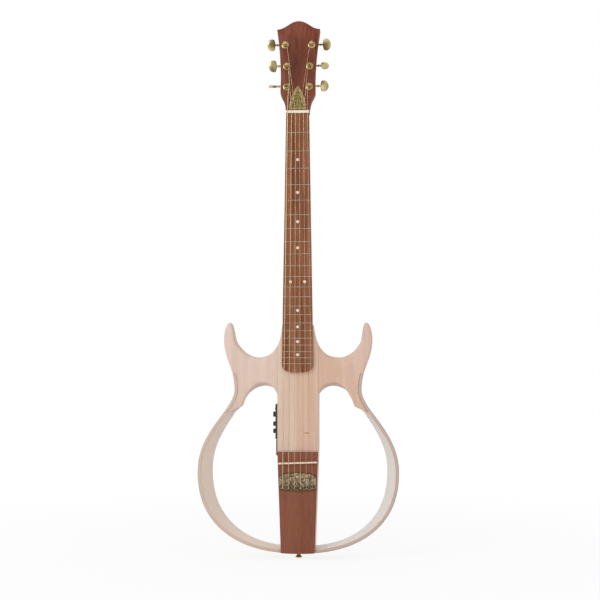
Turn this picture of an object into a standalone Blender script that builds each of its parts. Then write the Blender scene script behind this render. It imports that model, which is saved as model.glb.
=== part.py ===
"""Silent guitar: steel strings, a solid centre block, carved shoulders and a bent rim in place of a box.

Metres. X runs to the treble side, Y runs from the front to the back, Z runs up to the head.
The origin is the middle of the nut's front edge, on the playing face of the fretboard.
"""
import math

import bmesh
import bpy
from mathutils import Matrix, Vector, geometry

GAP = 0.0003

# Strings, nut, fretboard and frets
SCALE_LENGTH = 0.649
FRET_COUNT = 22
NUT_WIDTH = 0.0430
NUT_THICKNESS = 0.0054
NUT_STAND = 0.0026
BOARD_END_WIDTH = 0.0585
BOARD_THICKNESS = 0.0060
BOARD_OVERHANG = 0.0162
BOARD_END_POWER = 2.8
FRET_WIDTH = 0.0022
FRET_CROWN = 0.0009
FRET_SECTION = ((-0.5, -0.5), (-0.5, 0.1), (-0.28, 0.8), (0.0, 1.0), (0.28, 0.8), (0.5, 0.1), (0.5, -0.5))
STRING_NAMES = ("low_e", "a", "d", "g", "b", "high_e")
STRING_DIAMETERS = (0.00135, 0.00107, 0.00081, 0.00061, 0.00042, 0.00032)
STRING_SPREAD_NUT = 0.0372
STRING_SPREAD_SADDLE = 0.0540
STRING_RISE_NUT = 0.0012
STRING_RISE_SADDLE = 0.0048
WINDING_TURNS = 2.5
WINDING_LOOP_POINTS = 16
WINDING_CLEARANCE = 0.00052

# Neck and headstock
NECK_DEPTH_NUT = 0.0150
NECK_DEPTH_HEEL = 0.0185
NECK_LENGTH = 0.3950
HEEL_RISE_LENGTH = 0.045
HEEL_DEPTH = 0.0240
TONGUE_LENGTH = 0.083
TONGUE_WIDTH = 0.050
TONGUE_DEPTH = 0.022
HEEL_SLOPE_END = 0.4500
ROD_RADIUS = 0.0028
ROD_SETBACK = 0.0120
ROD_NUT_RADIUS = 0.0040
ROD_NUT_LENGTH = 0.011
HEAD_TILT = math.radians(10)
HEAD_ROOT_Y = 0.0020
HEAD_LENGTH = 0.1785
HEAD_CORNER_HEIGHT = 0.1620
HEAD_HALF_TOP = 0.0408
HEAD_HALF_LOW = 0.0324
HEAD_FLARE_TOP = 0.0315
VENEER_THICKNESS = 0.0020
HEAD_THICKNESS = 0.0140
COVER_WIDTH = 0.0325
COVER_HEIGHT = 0.0465
COVER_THICKNESS = 0.0014
COVER_FOOT = 0.0005
COVER_STEPS = 6

# Tuning machines, in the headstock's own frame: across, behind the face, up the face
POST_UP = (0.0462, 0.0871, 0.1300)
POST_OUT = (0.0212, 0.0216, 0.0250)
KNOB_TURNS_LEFT = (64, -20, -20)
KNOB_TURNS_RIGHT = (25, 78, 0)
POST_RADIUS = 0.0030
POST_WAIST = 0.0026
POST_FRONT = 0.0118
POST_CAP = 0.0020
STRING_HOLE_RADIUS = 0.0009
BUSHING_RADIUS = 0.0070
BUSHING_TUBE = 0.0048
BUSHING_FLANGE = 0.0018
BUSHING_LENGTH = 0.0090
WHEEL_TEETH = 15
WHEEL_MODULE = 0.00079
WHEEL_TIP = 0.00635
WHEEL_ROOT = 0.0051
WHEEL_FACE = 0.0030
WORM_OFFSET = 0.0090
WORM_CORE = 0.0023
WORM_THREAD = 0.00070
WORM_TURNS = 2
HOUSING_WIDTH = 0.0170
HOUSING_LOW = 0.0086
HOUSING_HIGH = 0.0146
HOUSING_DEPTH = 0.0098
HOUSING_WALL = 0.0022
KNOB_START = 0.0204
KNOB_LENGTH = 0.0152
KNOB_HEIGHT = 0.0221
KNOB_THICKNESS = 0.0055

# Body
BLOCK_HALF = 0.0378
BLOCK_HALF_TAIL = 0.0312
TOP_FACE = 0.0060
TOP_THICKNESS = 0.0040
BODY_BACK = 0.0640
PLATE_RAISE = 0.0040
PLATE_LEAD = 0.0185
BODY_HALF_WIDTH = 0.1874
BODY_WIDEST = 0.6670
BODY_TAIL = 0.8183
TAIL_POWER = 2.30
WAIST_HALF = 0.1182
WAIST_DOWN = 0.5156
HORN_TIP = (0.1272, 0.3905)
HORN_OUTER = (0.1385, 0.4211)
CUT_BOTTOM = (0.0752, 0.4556)
HORN_INNER = (0.1176, 0.4240)
CUT_ROOT = 0.0289
ARCH_TOP = (0.0670, 0.5093)
ARCH_ROOT = 0.5240
TONGUE_TIP = (0.1054, 0.5462)
TONGUE_CARVE = 0.0095
ARCH_FLARE = 0.0075
SHOULDER_DEPTH = 0.0540
RIM_THICKNESS = 0.0060
RIM_DEPTH = 0.0550
RIM_FRONT = 0.0070
RIM_START = 0.4870
SHOULDER_END = 0.5540
RIM_LEAN = 0.1080
LEAN_START = 0.4550
LEAN_FULL = 0.5600
HORN_THICKNESS = 0.0260
EDGE_ROUND = 0.0042

# Bridge
SADDLE_LENGTH = 0.0720
SADDLE_THICKNESS = 0.0028
SADDLE_SLANT = 0.0026
SADDLE_SLOT_FLOOR = 0.0076
PIEZO_THICKNESS = 0.0014
TAILPIECE_SETBACK = 0.0195
TAILPIECE_HEIGHT = 0.0335
TAILPIECE_HALF = 0.0349
TAILPIECE_THICKNESS = 0.0032
TAILPIECE_ARCH = 0.0100
TAILPIECE_SAG = 0.0030
BALL_SETBACK = 0.0480
BALL_RADIUS = 0.0019
BALL_LENGTH = 0.0038
BALL_FLOOR = 0.0007

# Preamp and battery, in the block's bass side
PREAMP_TOP = 0.5424
PREAMP_LENGTH = 0.0656
PREAMP_DEPTH_MIDDLE = 0.0370
PREAMP_PANEL_DEPTH = 0.0380
PREAMP_PROUD = 0.0046
PREAMP_BOX_LENGTH = 0.0590
PREAMP_BOX_DEPTH = 0.0300
PREAMP_BOX_REACH = 0.0250
PREAMP_WALL = 0.0015
PREAMP_KNOB_NAMES = ("volume_knob", "bass_knob", "treble_knob")
PREAMP_KNOB_DOWN = (0.5623, 0.5801, 0.5936)
PREAMP_KNOB_RADIUS = (0.0050, 0.0043, 0.0043)
PREAMP_KNOB_HEIGHT = 0.0052
POT_RADIUS = 0.0040
POT_LENGTH = 0.0070
POT_SHAFT = 0.0015
POT_SETBACK = 0.0020
PANEL_WALL = 0.0025
BOARD_SHEET = 0.0016
BUTTON_DOWN = 0.5520
BUTTON_RADIUS = 0.0024
BUTTON_PROUD = 0.0022
BUTTON_TRAVEL = 0.0012
BATTERY_SIZE = (0.0485, 0.0175, 0.0265)
DRAWER_WALL = 0.0012
DRAWER_FACE_HEIGHT = 0.0297
DRAWER_FACE_PROUD = 0.0032

# Jack, strap buttons and rear cover
JACK_DOWN = 0.7700
JACK_DEPTH_MIDDLE = 0.0370
JACK_BORE = 0.0032
JACK_RADIUS = 0.0056
JACK_LENGTH = 0.0280
JACK_PLATE = (0.0180, 0.0400, 0.0015)
STRAP_FLANGE = 0.0062
STRAP_STEM = 0.0036
STRAP_LENGTH = 0.0114
STRAP_DEPTH = 0.0330
HEEL_STRAP_DOWN = 0.4750
REAR_COVER = (0.0500, 0.0660, 0.0020)
REAR_COVER_MIDDLE = 0.6900
REAR_CAVITY_DEPTH = 0.0300
REAR_LEDGE = 0.0060

GUITAR = bpy.data.collections.new("silent_guitar")
CUTTERS = bpy.data.collections.new("cutters")
WHEEL_DEPTH = VENEER_THICKNESS + GAP + HEAD_THICKNESS + GAP + 0.0032
HEAD_ROOT = Vector((0, HEAD_ROOT_Y, NUT_THICKNESS + 3 * GAP))
HEAD_MATRIX = Matrix.Translation(HEAD_ROOT) @ Matrix.Rotation(-HEAD_TILT, 4, "X")
PLATE_FACE = TOP_FACE - PLATE_RAISE
PLATE_TOP = SCALE_LENGTH - PLATE_LEAD
TAILPIECE_TOP = SCALE_LENGTH + TAILPIECE_SETBACK
BALL_DOWN = SCALE_LENGTH + BALL_SETBACK
CORE_FRONT = TOP_FACE + TOP_THICKNESS + GAP


def clear_scene():
    for old in list(bpy.data.objects):
        bpy.data.objects.remove(old, do_unlink=True)
    bpy.context.scene.collection.children.link(GUITAR)
    bpy.context.scene.collection.children.link(CUTTERS)


def material(name, colour, roughness, metallic=0.0):
    made = bpy.data.materials.get(name) or bpy.data.materials.new(name)
    made.use_nodes = True
    shader = made.node_tree.nodes["Principled BSDF"]
    shader.inputs["Base Color"].default_value = (*colour, 1.0)
    shader.inputs["Roughness"].default_value = roughness
    shader.inputs["Metallic"].default_value = metallic
    return made


def pale_wood():
    return material("pale_wood", (0.66, 0.50, 0.38), 0.55)


def brown_wood():
    return material("brown_wood", (0.24, 0.09, 0.05), 0.5)


def neck_wood():
    return material("neck_wood", (0.26, 0.11, 0.06), 0.5)


def board_wood():
    return material("board_wood", (0.23, 0.10, 0.06), 0.55)


def veneer_wood():
    return material("veneer_wood", (0.15, 0.05, 0.03), 0.35)


def gold():
    return material("gold", (0.62, 0.42, 0.14), 0.25, 1.0)


def nickel():
    return material("nickel", (0.72, 0.70, 0.66), 0.3, 1.0)


def steel():
    return material("steel", (0.5, 0.5, 0.5), 0.35, 1.0)


def bronze():
    return material("bronze", (0.60, 0.38, 0.20), 0.35, 1.0)


def ivory():
    return material("ivory", (0.86, 0.80, 0.70), 0.4)


def black_plastic():
    return material("black_plastic", (0.03, 0.03, 0.03), 0.45)


def ornament():
    return material("ornament", (0.28, 0.23, 0.12), 0.4, 0.4)


def place(name, mesh, finish, parent=None, cutter=False):
    """Makes an object of a mesh, in the guitar's collection or among the cutters."""
    made = bpy.data.objects.new(name, mesh)
    (CUTTERS if cutter else GUITAR).objects.link(made)
    made.parent = parent
    if cutter:
        made.hide_render = True
        made.display_type = "WIRE"
    else:
        mesh.materials.clear()
        mesh.materials.append(finish)
        if hasattr(mesh, "shade_smooth"):
            mesh.shade_smooth()
            mesh.set_sharp_from_angle(angle=math.radians(35))
    return made


def to_mesh(shape, name):
    """Turns a bmesh into a mesh whose faces point outwards."""
    bmesh.ops.recalc_face_normals(shape, faces=shape.faces)
    mesh = bpy.data.meshes.new(name)
    shape.to_mesh(mesh)
    shape.free()
    return mesh


def add_box(shape, low, high, turn=None, pivot=Vector((0, 0, 0))):
    """Adds a box between two corners, turned about the pivot."""
    size = Vector(high) - Vector(low)
    middle = (Vector(high) + Vector(low)) / 2
    matrix = Matrix.Translation(middle) @ Matrix.Diagonal((*size, 1))
    if turn is not None:
        matrix = Matrix.Translation(pivot) @ turn.to_4x4() @ Matrix.Translation(-pivot) @ matrix
    bmesh.ops.create_cube(shape, size=1.0, matrix=matrix)


def add_rod(shape, start, end, radius, sides=12, end_radius=None):
    """Adds a closed cylinder or cone between two points."""
    start, end = Vector(start), Vector(end)
    turn = (end - start).to_track_quat("Z", "Y").to_matrix().to_4x4()
    bmesh.ops.create_cone(
        shape,
        cap_ends=True,
        segments=sides,
        radius1=radius,
        radius2=radius if end_radius is None else end_radius,
        depth=(end - start).length,
        matrix=Matrix.Translation((start + end) / 2) @ turn,
    )


def box(name, low, high, finish, parent=None, cutter=False):
    shape = bmesh.new()
    add_box(shape, low, high)
    return place(name, to_mesh(shape, name), finish, parent, cutter)


def rod_cutter(name, start, end, radius, sides=12, parent=None):
    shape = bmesh.new()
    add_rod(shape, start, end, radius, sides)
    return place(name, to_mesh(shape, name), None, parent, True)


def flat_plate(name, outline, front, back, finish, parent=None, cutter=False):
    """Extrudes an outline of (across, up) points between two depths."""
    curve = bpy.data.curves.new(name, "CURVE")
    curve.dimensions = "2D"
    curve.fill_mode = "BOTH"
    curve.extrude = (back - front) / 2
    spline = curve.splines.new("POLY")
    spline.points.add(len(outline) - 1)
    spline.use_cyclic_u = True
    for point, (across, up) in zip(spline.points, outline):
        point.co = (across, up, 0, 1)
    guide = bpy.data.objects.new(name + "_outline", curve)
    CUTTERS.objects.link(guide)
    mesh = bpy.data.meshes.new_from_object(guide.evaluated_get(bpy.context.evaluated_depsgraph_get()))
    bpy.data.objects.remove(guide)
    shape = bmesh.new()
    shape.from_mesh(mesh)
    bmesh.ops.remove_doubles(shape, verts=shape.verts, dist=1e-6)
    upright = Matrix.Translation((0, (front + back) / 2, 0)) @ Matrix.Rotation(math.pi / 2, 4, "X")
    shape.transform(upright)
    shape.to_mesh(mesh)
    shape.free()
    mesh.name = name
    return place(name, mesh, finish, parent, cutter)


def turned(name, profile, finish, steps=16, parent=None, closed=False, cutter=False):
    """Turns a (radius, height) profile about Z: outer side from top to bottom."""
    mesh = bpy.data.meshes.new(name)
    edges = [(i, i + 1) for i in range(len(profile) - 1)]
    if closed:
        edges.append((len(profile) - 1, 0))
    mesh.from_pydata([(radius, 0, height) for radius, height in profile], edges, [])
    made = place(name, mesh, finish, parent, cutter)
    screw = made.modifiers.new("turn", "SCREW")
    screw.steps = steps
    screw.render_steps = steps
    screw.merge_threshold = 1e-5
    screw.use_merge_vertices = True
    screw.use_smooth_shade = True
    return made


def loft(name, rings, finish, parent=None, cutter=False):
    """Skins a row of sections with equally many points, and caps both ends."""
    shape = bmesh.new()
    rows = [[shape.verts.new(point) for point in ring] for ring in rings]
    count = len(rows[0])
    for row, following in zip(rows, rows[1:]):
        for i in range(count):
            j = (i + 1) % count
            shape.faces.new((row[i], row[j], following[j], following[i]))
    shape.faces.new(rows[0])
    shape.faces.new(rows[-1])
    return place(name, to_mesh(shape, name), finish, parent, cutter)


def tube(name, points, radius, finish, resolution=1, parent=None):
    """A round wire along points, with closed ends."""
    curve = bpy.data.curves.new(name, "CURVE")
    curve.dimensions = "3D"
    curve.bevel_depth = radius
    curve.bevel_resolution = resolution
    curve.use_fill_caps = True
    spline = curve.splines.new("POLY")
    spline.points.add(len(points) - 1)
    for point, co in zip(spline.points, points):
        point.co = (*co, 1)
    return place_curve(name, curve, finish, parent)


def place_curve(name, curve, finish, parent):
    made = bpy.data.objects.new(name, curve)
    GUITAR.objects.link(made)
    made.parent = parent
    curve.materials.append(finish)
    return made


def tube_mesh(name, points, radius, resolution, finish=None, parent=None, cutter=True):
    """The same wire as a welded mesh, for a union or a cut."""
    wire = tube(name + "_wire", points, radius, finish, resolution, parent)
    bpy.context.view_layer.update()
    mesh = bpy.data.meshes.new_from_object(wire.evaluated_get(bpy.context.evaluated_depsgraph_get()))
    bpy.data.objects.remove(wire)
    shape = bmesh.new()
    shape.from_mesh(mesh)
    bmesh.ops.remove_doubles(shape, verts=shape.verts, dist=1e-6)
    shape.to_mesh(mesh)
    shape.free()
    return place(name, mesh, finish, parent, cutter)


def combine(target, tool, operation):
    change = target.modifiers.new(tool.name, "BOOLEAN")
    change.operation = operation
    change.solver = "EXACT"
    change.object = tool


def cut(target, *tools):
    for tool in tools:
        combine(target, tool, "DIFFERENCE")


def join(target, *tools):
    for tool in tools:
        combine(target, tool, "UNION")


def round_edges(target, width, segments=2, angle=40):
    bevel = target.modifiers.new("round", "BEVEL")
    bevel.width = width
    bevel.segments = segments
    bevel.limit_method = "ANGLE"
    bevel.angle_limit = math.radians(angle)


def smooth_path(knots, steps):
    """Samples a chain of Bezier spans. A knot is (x, down, heading in degrees, handle in, handle out)."""
    points = []
    for (ax, ad, ah, _, a_out), (bx, bd, bh, b_in, _) in zip(knots, knots[1:]):
        start, end = Vector((ax, -ad)), Vector((bx, -bd))
        first = start + Vector((math.cos(math.radians(ah)), math.sin(math.radians(ah)))) * a_out
        last = end - Vector((math.cos(math.radians(bh)), math.sin(math.radians(bh)))) * b_in
        span = geometry.interpolate_bezier(start, first, last, end, steps)
        points += [(p.x, p.y) for p in (span if not points else span[1:])]
    return points


def cross_height(path, across):
    """The height at which a path first passes a distance from the centre line."""
    for (ax, az), (bx, bz) in zip(path, path[1:]):
        if (ax - across) * (bx - across) <= 0 and ax != bx:
            return az + (bz - az) * (across - ax) / (bx - ax)
    return path[0][1]


def tail_height(across):
    """Height of the body's tail outline, part of a superellipse."""
    share = min(abs(across) / BODY_HALF_WIDTH, 1.0)
    reach = BODY_TAIL - BODY_WIDEST
    return -BODY_WIDEST - reach * (1 - share**TAIL_POWER) ** (1 / TAIL_POWER)


def cutaway_path(steps=10):
    """The edge between neck and horn, from the neck's root to the horn's tip."""
    return smooth_path(
        [
            (CUT_ROOT, NECK_LENGTH + GAP, 277, 0, 0.014),
            (*CUT_BOTTOM, 0, 0.043, 0.023),
            (*HORN_INNER, 72, 0.012, 0.006),
            (*HORN_TIP, 0, 0.007, 0),
        ],
        steps,
    )


def flank_path(steps=10):
    """The outer edge from the horn's tip past the waist to the widest place."""
    return smooth_path(
        [
            (*HORN_TIP, 0, 0, 0.007),
            (*HORN_OUTER, 270, 0.0119, 0.0389),
            (WAIST_HALF, WAIST_DOWN, 270, 0.040, 0.0362),
            (BODY_HALF_WIDTH, BODY_WIDEST, 270, 0.0746, 0),
        ],
        steps,
    )


def tail_path(stop, steps=16):
    """The outer edge from the widest place down to a distance from the centre line."""
    share = (stop / BODY_HALF_WIDTH) ** (TAIL_POWER / 2)
    last = math.acos(min(share, 1.0))
    points = []
    for i in range(1, steps + 1):
        turn = last * i / steps
        across = BODY_HALF_WIDTH * math.cos(turn) ** (2 / TAIL_POWER)
        points.append((across, tail_height(across)))
    return points


def arch_path(carve=0.0, steps=8):
    """The lower edge of a shoulder, from the block to the tongue's tip."""
    return smooth_path(
        [
            (BLOCK_HALF + GAP, ARCH_ROOT, 30, 0, 0.003),
            (*ARCH_TOP, 0, 0.0195, 0.0075),
            (TONGUE_TIP[0] + carve, TONGUE_TIP[1], 289, 0.033, 0),
        ],
        steps,
    )


def inset(path, distance):
    """Moves a path to its right-hand side, which is inwards on the outer edge."""
    moved = []
    for i, (x, z) in enumerate(path):
        ax, az = path[max(i - 1, 0)]
        bx, bz = path[min(i + 1, len(path) - 1)]
        along = Vector((bx - ax, bz - az)).normalized()
        moved.append((x + along.y * distance, z - along.x * distance))
    return moved


def smoothstep(value):
    value = min(max(value, 0.0), 1.0)
    return value * value * (3 - 2 * value)


def lean(x, y, z):
    """Draws the rim inwards towards the back, more the further it is from the block."""
    out = max(abs(x) - BLOCK_HALF, 0.0)
    ramp = smoothstep((-z - LEAN_START) / (LEAN_FULL - LEAN_START))
    depth = (y - RIM_FRONT) / RIM_DEPTH
    return Vector((x - math.copysign(out * RIM_LEAN * ramp * depth, x), y, z))


def block_half(down):
    """Half the width of the centre block at a distance below the nut."""
    share = min(max((down - PLATE_TOP) / (BODY_TAIL - PLATE_TOP), 0.0), 1.0)
    return BLOCK_HALF + (BLOCK_HALF_TAIL - BLOCK_HALF) * share


def fret_down(number):
    return SCALE_LENGTH * (1 - 2 ** (-number / 12))


def board_half(down):
    share = down / fret_down(FRET_COUNT)
    return (NUT_WIDTH + (BOARD_END_WIDTH - NUT_WIDTH) * share) / 2


def board_outline(step_count=7):
    """Fretboard outline with a rounded body end."""
    end = fret_down(FRET_COUNT)
    half = board_half(end)
    low = []
    for i in range(step_count + 1):
        turn = math.pi / 2 * i / step_count
        across = half * math.cos(turn) ** (2 / BOARD_END_POWER)
        drop = BOARD_OVERHANG * math.sin(turn) ** (2 / BOARD_END_POWER)
        low.append((across, -end - drop))
    right = [(board_half(0), 0)] + low
    return right + [(-x, z) for x, z in reversed(right[:-1])]


def make_fretboard():
    """The board with its frets set in, each a low arch in section."""
    board = flat_plate("fretboard", board_outline(), 0, BOARD_THICKNESS - GAP, board_wood())
    shape = bmesh.new()
    for number in range(1, FRET_COUNT + 1):
        half = board_half(fret_down(number)) - GAP
        ends = []
        for end in (-half, half):
            ring = []
            for along, rise in FRET_SECTION:
                point = (end, -rise * FRET_CROWN, -fret_down(number) + along * FRET_WIDTH)
                ring.append(shape.verts.new(point))
            ends.append(ring)
        count = len(FRET_SECTION)
        for i in range(count):
            j = (i + 1) % count
            shape.faces.new((ends[0][i], ends[0][j], ends[1][j], ends[1][i]))
        shape.faces.new(ends[0])
        shape.faces.new(ends[1])
    join(board, place("fret_wires", to_mesh(shape, "fret_wires"), None, None, True))


def neck_ring(half, front, depth, z, sides=12):
    """A D-shaped neck section with its flat side to the front."""
    ring = []
    for i in range(sides + 1):
        turn = math.pi * i / sides
        ring.append((half * math.cos(turn), front + depth * math.sin(turn) ** 0.8, z))
    return ring


def head_outline():
    """Half outline of the headstock from the nut to the peak, mirrored to a full one."""
    root = board_half(0) + 0.0008
    right = [
        (root, -0.004),
        (root, 0.0),
        (root + 0.0014, 0.0110),
        (root + 0.0040, 0.0200),
        (root + 0.0076, 0.0272),
        (HEAD_HALF_LOW - 0.0010, HEAD_FLARE_TOP),
        (HEAD_HALF_LOW + 0.0004, HEAD_FLARE_TOP + 0.0050),
        (HEAD_HALF_LOW, 0.064),
        (HEAD_HALF_LOW + 0.0016, 0.100),
        (HEAD_HALF_LOW + 0.0045, 0.132),
        (HEAD_HALF_TOP, HEAD_CORNER_HEIGHT),
    ]
    corner = Vector((HEAD_HALF_TOP, HEAD_CORNER_HEIGHT))
    peak = Vector((0, HEAD_LENGTH))
    reach = Vector((HEAD_HALF_TOP * 0.42, 0))
    crest = geometry.interpolate_bezier(corner, corner - reach, peak + reach, peak, 10)
    right += [(p.x, p.y) for p in crest[1:-1]]
    return right + [(0, HEAD_LENGTH)] + [(-x, z) for x, z in reversed(right)]


def tuner_places():
    """Side, distance across and height of each post, low E first."""
    places = [(-1, -out, up) for out, up in zip(POST_OUT, POST_UP)]
    places += [(1, out, up) for out, up in reversed(list(zip(POST_OUT, POST_UP)))]
    return places


def make_neck(head):
    wood = neck_wood()
    front = BOARD_THICKNESS
    taper_end = NECK_LENGTH - HEEL_RISE_LENGTH
    inner = HEAD_MATRIX @ Vector((0, VENEER_THICKNESS + 0.004, 0.012))
    rings = [
        neck_ring(board_half(0) - 0.003, inner.y, HEAD_THICKNESS * 0.55, inner.z),
        neck_ring(board_half(0), front, NECK_DEPTH_NUT, NUT_THICKNESS * 0.6),
        neck_ring(board_half(0), front, NECK_DEPTH_NUT, -0.02),
        neck_ring(board_half(taper_end), front, NECK_DEPTH_HEEL, -taper_end),
        neck_ring(board_half(NECK_LENGTH), front, HEEL_DEPTH, -NECK_LENGTH),
    ]
    neck = loft("neck", rings, wood)
    blank_front = VENEER_THICKNESS + GAP
    blank_back = blank_front + HEAD_THICKNESS
    blank = flat_plate("head_blank", head_outline(), blank_front, blank_back, wood, head, True)
    tongue_front = CORE_FRONT
    tongue = box(
        "heel_tongue",
        (-TONGUE_WIDTH / 2, tongue_front, -NECK_LENGTH - TONGUE_LENGTH),
        (TONGUE_WIDTH / 2, tongue_front + TONGUE_DEPTH, -NECK_LENGTH + 0.006),
        None,
        None,
        True,
    )
    join(neck, blank, tongue)
    seat_low = (-NUT_WIDTH, -NUT_WIDTH, -NUT_THICKNESS)
    seat = box("nut_seat", seat_low, (NUT_WIDTH, front, NUT_THICKNESS + GAP), None, None, True)
    channel_half = ROD_RADIUS + GAP
    channel = box(
        "rod_channel",
        (-channel_half, -0.01, rod_end() - GAP),
        (channel_half, front + 2 * channel_half + 0.0006, NUT_THICKNESS + 0.002),
        None,
        None,
        True,
    )
    pocket = box(
        "rod_nut_pocket",
        (-ROD_NUT_RADIUS - 2 * GAP, -0.01, NUT_THICKNESS + GAP),
        (ROD_NUT_RADIUS + 2 * GAP, front + 2 * channel_half + 0.0018, NUT_THICKNESS + ROD_NUT_LENGTH + 0.006),
        None,
        None,
        True,
    )
    drills = drill_cutter("head_drills", head)
    cut(neck, seat, channel, pocket, drills)
    return drills, pocket


def drill_cutter(name, head):
    """Holes for the bushings."""
    shape = bmesh.new()
    for _, across, up in tuner_places():
        add_rod(shape, (across, -0.02, up), (across, 0.03, up), BUSHING_TUBE + GAP, 14)
    return place(name, to_mesh(shape, name), None, head, True)


def cover_outline():
    """Pointed arch of the truss rod cover."""
    half = COVER_WIDTH / 2
    right = [(half, COVER_FOOT)]
    for i in range(1, COVER_STEPS):
        share = i / COVER_STEPS
        right.append((half * math.cos(share * math.pi / 2) ** 0.75, COVER_FOOT + COVER_HEIGHT * share))
    return right + [(0, COVER_FOOT + COVER_HEIGHT)] + [(-x, z) for x, z in reversed(right)]


def make_head_face(head, drills, pocket):
    outline = [(x, max(z, 0.0)) for x, z in head_outline()[1:-1]]
    veneer = flat_plate("headstock_veneer", outline, 0, VENEER_THICKNESS, veneer_wood(), head)
    cut(veneer, drills, pocket)
    flat_plate("truss_rod_cover", cover_outline(), -GAP - COVER_THICKNESS, -GAP, ornament(), head)


def rod_end():
    """Height of the truss rod's anchored end, short of the neck's own."""
    return -NECK_LENGTH + ROD_SETBACK


def make_truss_rod():
    """A rod under the fretboard with its hexagonal nut at the head."""
    centre = BOARD_THICKNESS + GAP + ROD_RADIUS
    top = NUT_THICKNESS + 4 * GAP
    shape = bmesh.new()
    add_rod(shape, (0, centre, rod_end()), (0, centre, top + ROD_NUT_LENGTH / 2), ROD_RADIUS, 10)
    rod = place("truss_rod", to_mesh(shape, "truss_rod"), steel())
    nut = rod_cutter("rod_nut", (0, centre, top), (0, centre, top + ROD_NUT_LENGTH), ROD_NUT_RADIUS, 6)
    join(rod, nut)


def string_across(index, down):
    """Distance of a string from the centre line at a distance below the nut."""
    spread = STRING_SPREAD_NUT + (STRING_SPREAD_SADDLE - STRING_SPREAD_NUT) * down / SCALE_LENGTH
    return (index / (len(STRING_NAMES) - 1) - 0.5) * spread


def saddle_down(across):
    """The saddle slants away from the nut towards the bass side."""
    return SCALE_LENGTH + SADDLE_SLANT * (0.5 - across / SADDLE_LENGTH)


def nut_point(index):
    radius = STRING_DIAMETERS[index] / 2
    return Vector((string_across(index, 0), -STRING_RISE_NUT - GAP - radius, 0))


def winding(index):
    """Points of the winding round a post, from where the string meets it, in the headstock's frame."""
    side, across, up = tuner_places()[index]
    diameter = STRING_DIAMETERS[index]
    radius = POST_WAIST + GAP + diameter / 2
    low = -BUSHING_FLANGE - GAP - WINDING_CLEARANCE - diameter / 2
    start = HEAD_MATRIX.inverted() @ nut_point(index)
    reach = Vector((across - start.x, up - start.z))
    swing = math.asin(radius / reach.length)
    heading = math.atan2(reach.y, reach.x) + side * swing
    touch = heading + side * math.pi / 2
    points = []
    count = int(WINDING_TURNS * WINDING_LOOP_POINTS)
    for i in range(count + 1):
        turned_by = 2 * math.pi * i / WINDING_LOOP_POINTS
        angle = touch - side * turned_by
        depth = low - (diameter + WINDING_CLEARANCE) * turned_by / (2 * math.pi)
        points.append(Vector((across + radius * math.cos(angle), depth, up + radius * math.sin(angle))))
    last = (points[-1] - points[-2]).normalized()
    return points + [points[-1] + last * diameter * 1.2]


def least_gap(points, diameter):
    """Smallest clear distance between stretches of a wire that aren't neighbours."""
    apart = WINDING_LOOP_POINTS // 2
    least = 1.0
    for i, first in enumerate(points):
        for second in points[i + apart:]:
            least = min(least, (first - second).length)
    return least - diameter


def make_string(index):
    """A string from its ball end over saddle and nut to the winding on its post, as one wire."""
    diameter = STRING_DIAMETERS[index]
    radius = diameter / 2
    ball_z = -BALL_DOWN
    anchor_z = ball_z + BALL_RADIUS * 0.5
    anchor_y = PLATE_FACE - GAP - TAILPIECE_THICKNESS - GAP - radius
    bridge_down = saddle_down(string_across(index, SCALE_LENGTH))
    coil = [HEAD_MATRIX @ point for point in winding(index)]
    points = [
        Vector((string_across(index, -anchor_z), anchor_y, anchor_z)),
        Vector((string_across(index, bridge_down), -STRING_RISE_SADDLE - GAP - radius, -bridge_down)),
        nut_point(index),
        *coil,
    ]
    finish = bronze() if index < 4 else nickel()
    name = "string_" + STRING_NAMES[index]
    string = tube_mesh(name, points, radius, 1, finish, None, False)
    across = string_across(index, BALL_DOWN)
    ends = [(across + BALL_LENGTH * share, anchor_y + BALL_RADIUS * 0.4, ball_z) for share in (-0.5, 0.5)]
    join(string, rod_cutter(name + "_ball", *ends, BALL_RADIUS, 10))
    print(f"{name}: least gap in the winding {least_gap(coil, diameter) * 1000:.2f} mm")


def make_nut():
    """The nut, with a slot for each string that falls away towards its post."""
    low = (-NUT_WIDTH / 2, -NUT_STAND, 0)
    high = (NUT_WIDTH / 2, BOARD_THICKNESS - GAP, NUT_THICKNESS)
    nut = box("nut", low, high, ivory())
    round_edges(nut, 0.0005, 1)
    shape = bmesh.new()
    for index, diameter in enumerate(STRING_DIAMETERS):
        start = nut_point(index)
        heading = HEAD_MATRIX @ winding(index)[0] - start
        turn = heading.to_track_quat("Z", "Y").to_matrix()
        half = diameter / 2 + GAP
        corner = start + Vector((-half, -0.006, -0.004))
        add_box(shape, corner, start + Vector((half, half, 0.014)), turn, start)
    cut(nut, place("string_slots", to_mesh(shape, "string_slots"), None, None, True))


def make_tuner(index, head):
    """One tuning machine: post with worm wheel, bushing, housing, and knob with worm shaft."""
    side, across, up = tuner_places()[index]
    name = STRING_NAMES[index]
    post = turned("tuner_post_" + name, post_profile(), gold(), 12, head)
    post.location = (across, 0, up)
    post.rotation_euler = (math.pi / 2, 0, 0)
    wheel = worm_wheel("wheel_" + name, head)
    wheel.location = (across, 0, up)
    hole = rod_cutter(
        "string_hole_" + name,
        (across - 0.01, string_hole_depth(), up),
        (across + 0.01, string_hole_depth(), up),
        STRING_HOLE_RADIUS,
        8,
        head,
    )
    join(post, wheel)
    cut(post, hole)
    bushing = turned("tuner_bushing_" + name, bushing_profile(), gold(), 12, head, True)
    bushing.location = (across, 0, up)
    bushing.rotation_euler = (math.pi / 2, 0, 0)
    make_housing(name, side, across, up, head)
    make_knob(name, side, across, up, head)


def string_hole_depth():
    return -POST_FRONT + POST_CAP + 2 * STRING_HOLE_RADIUS


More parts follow.
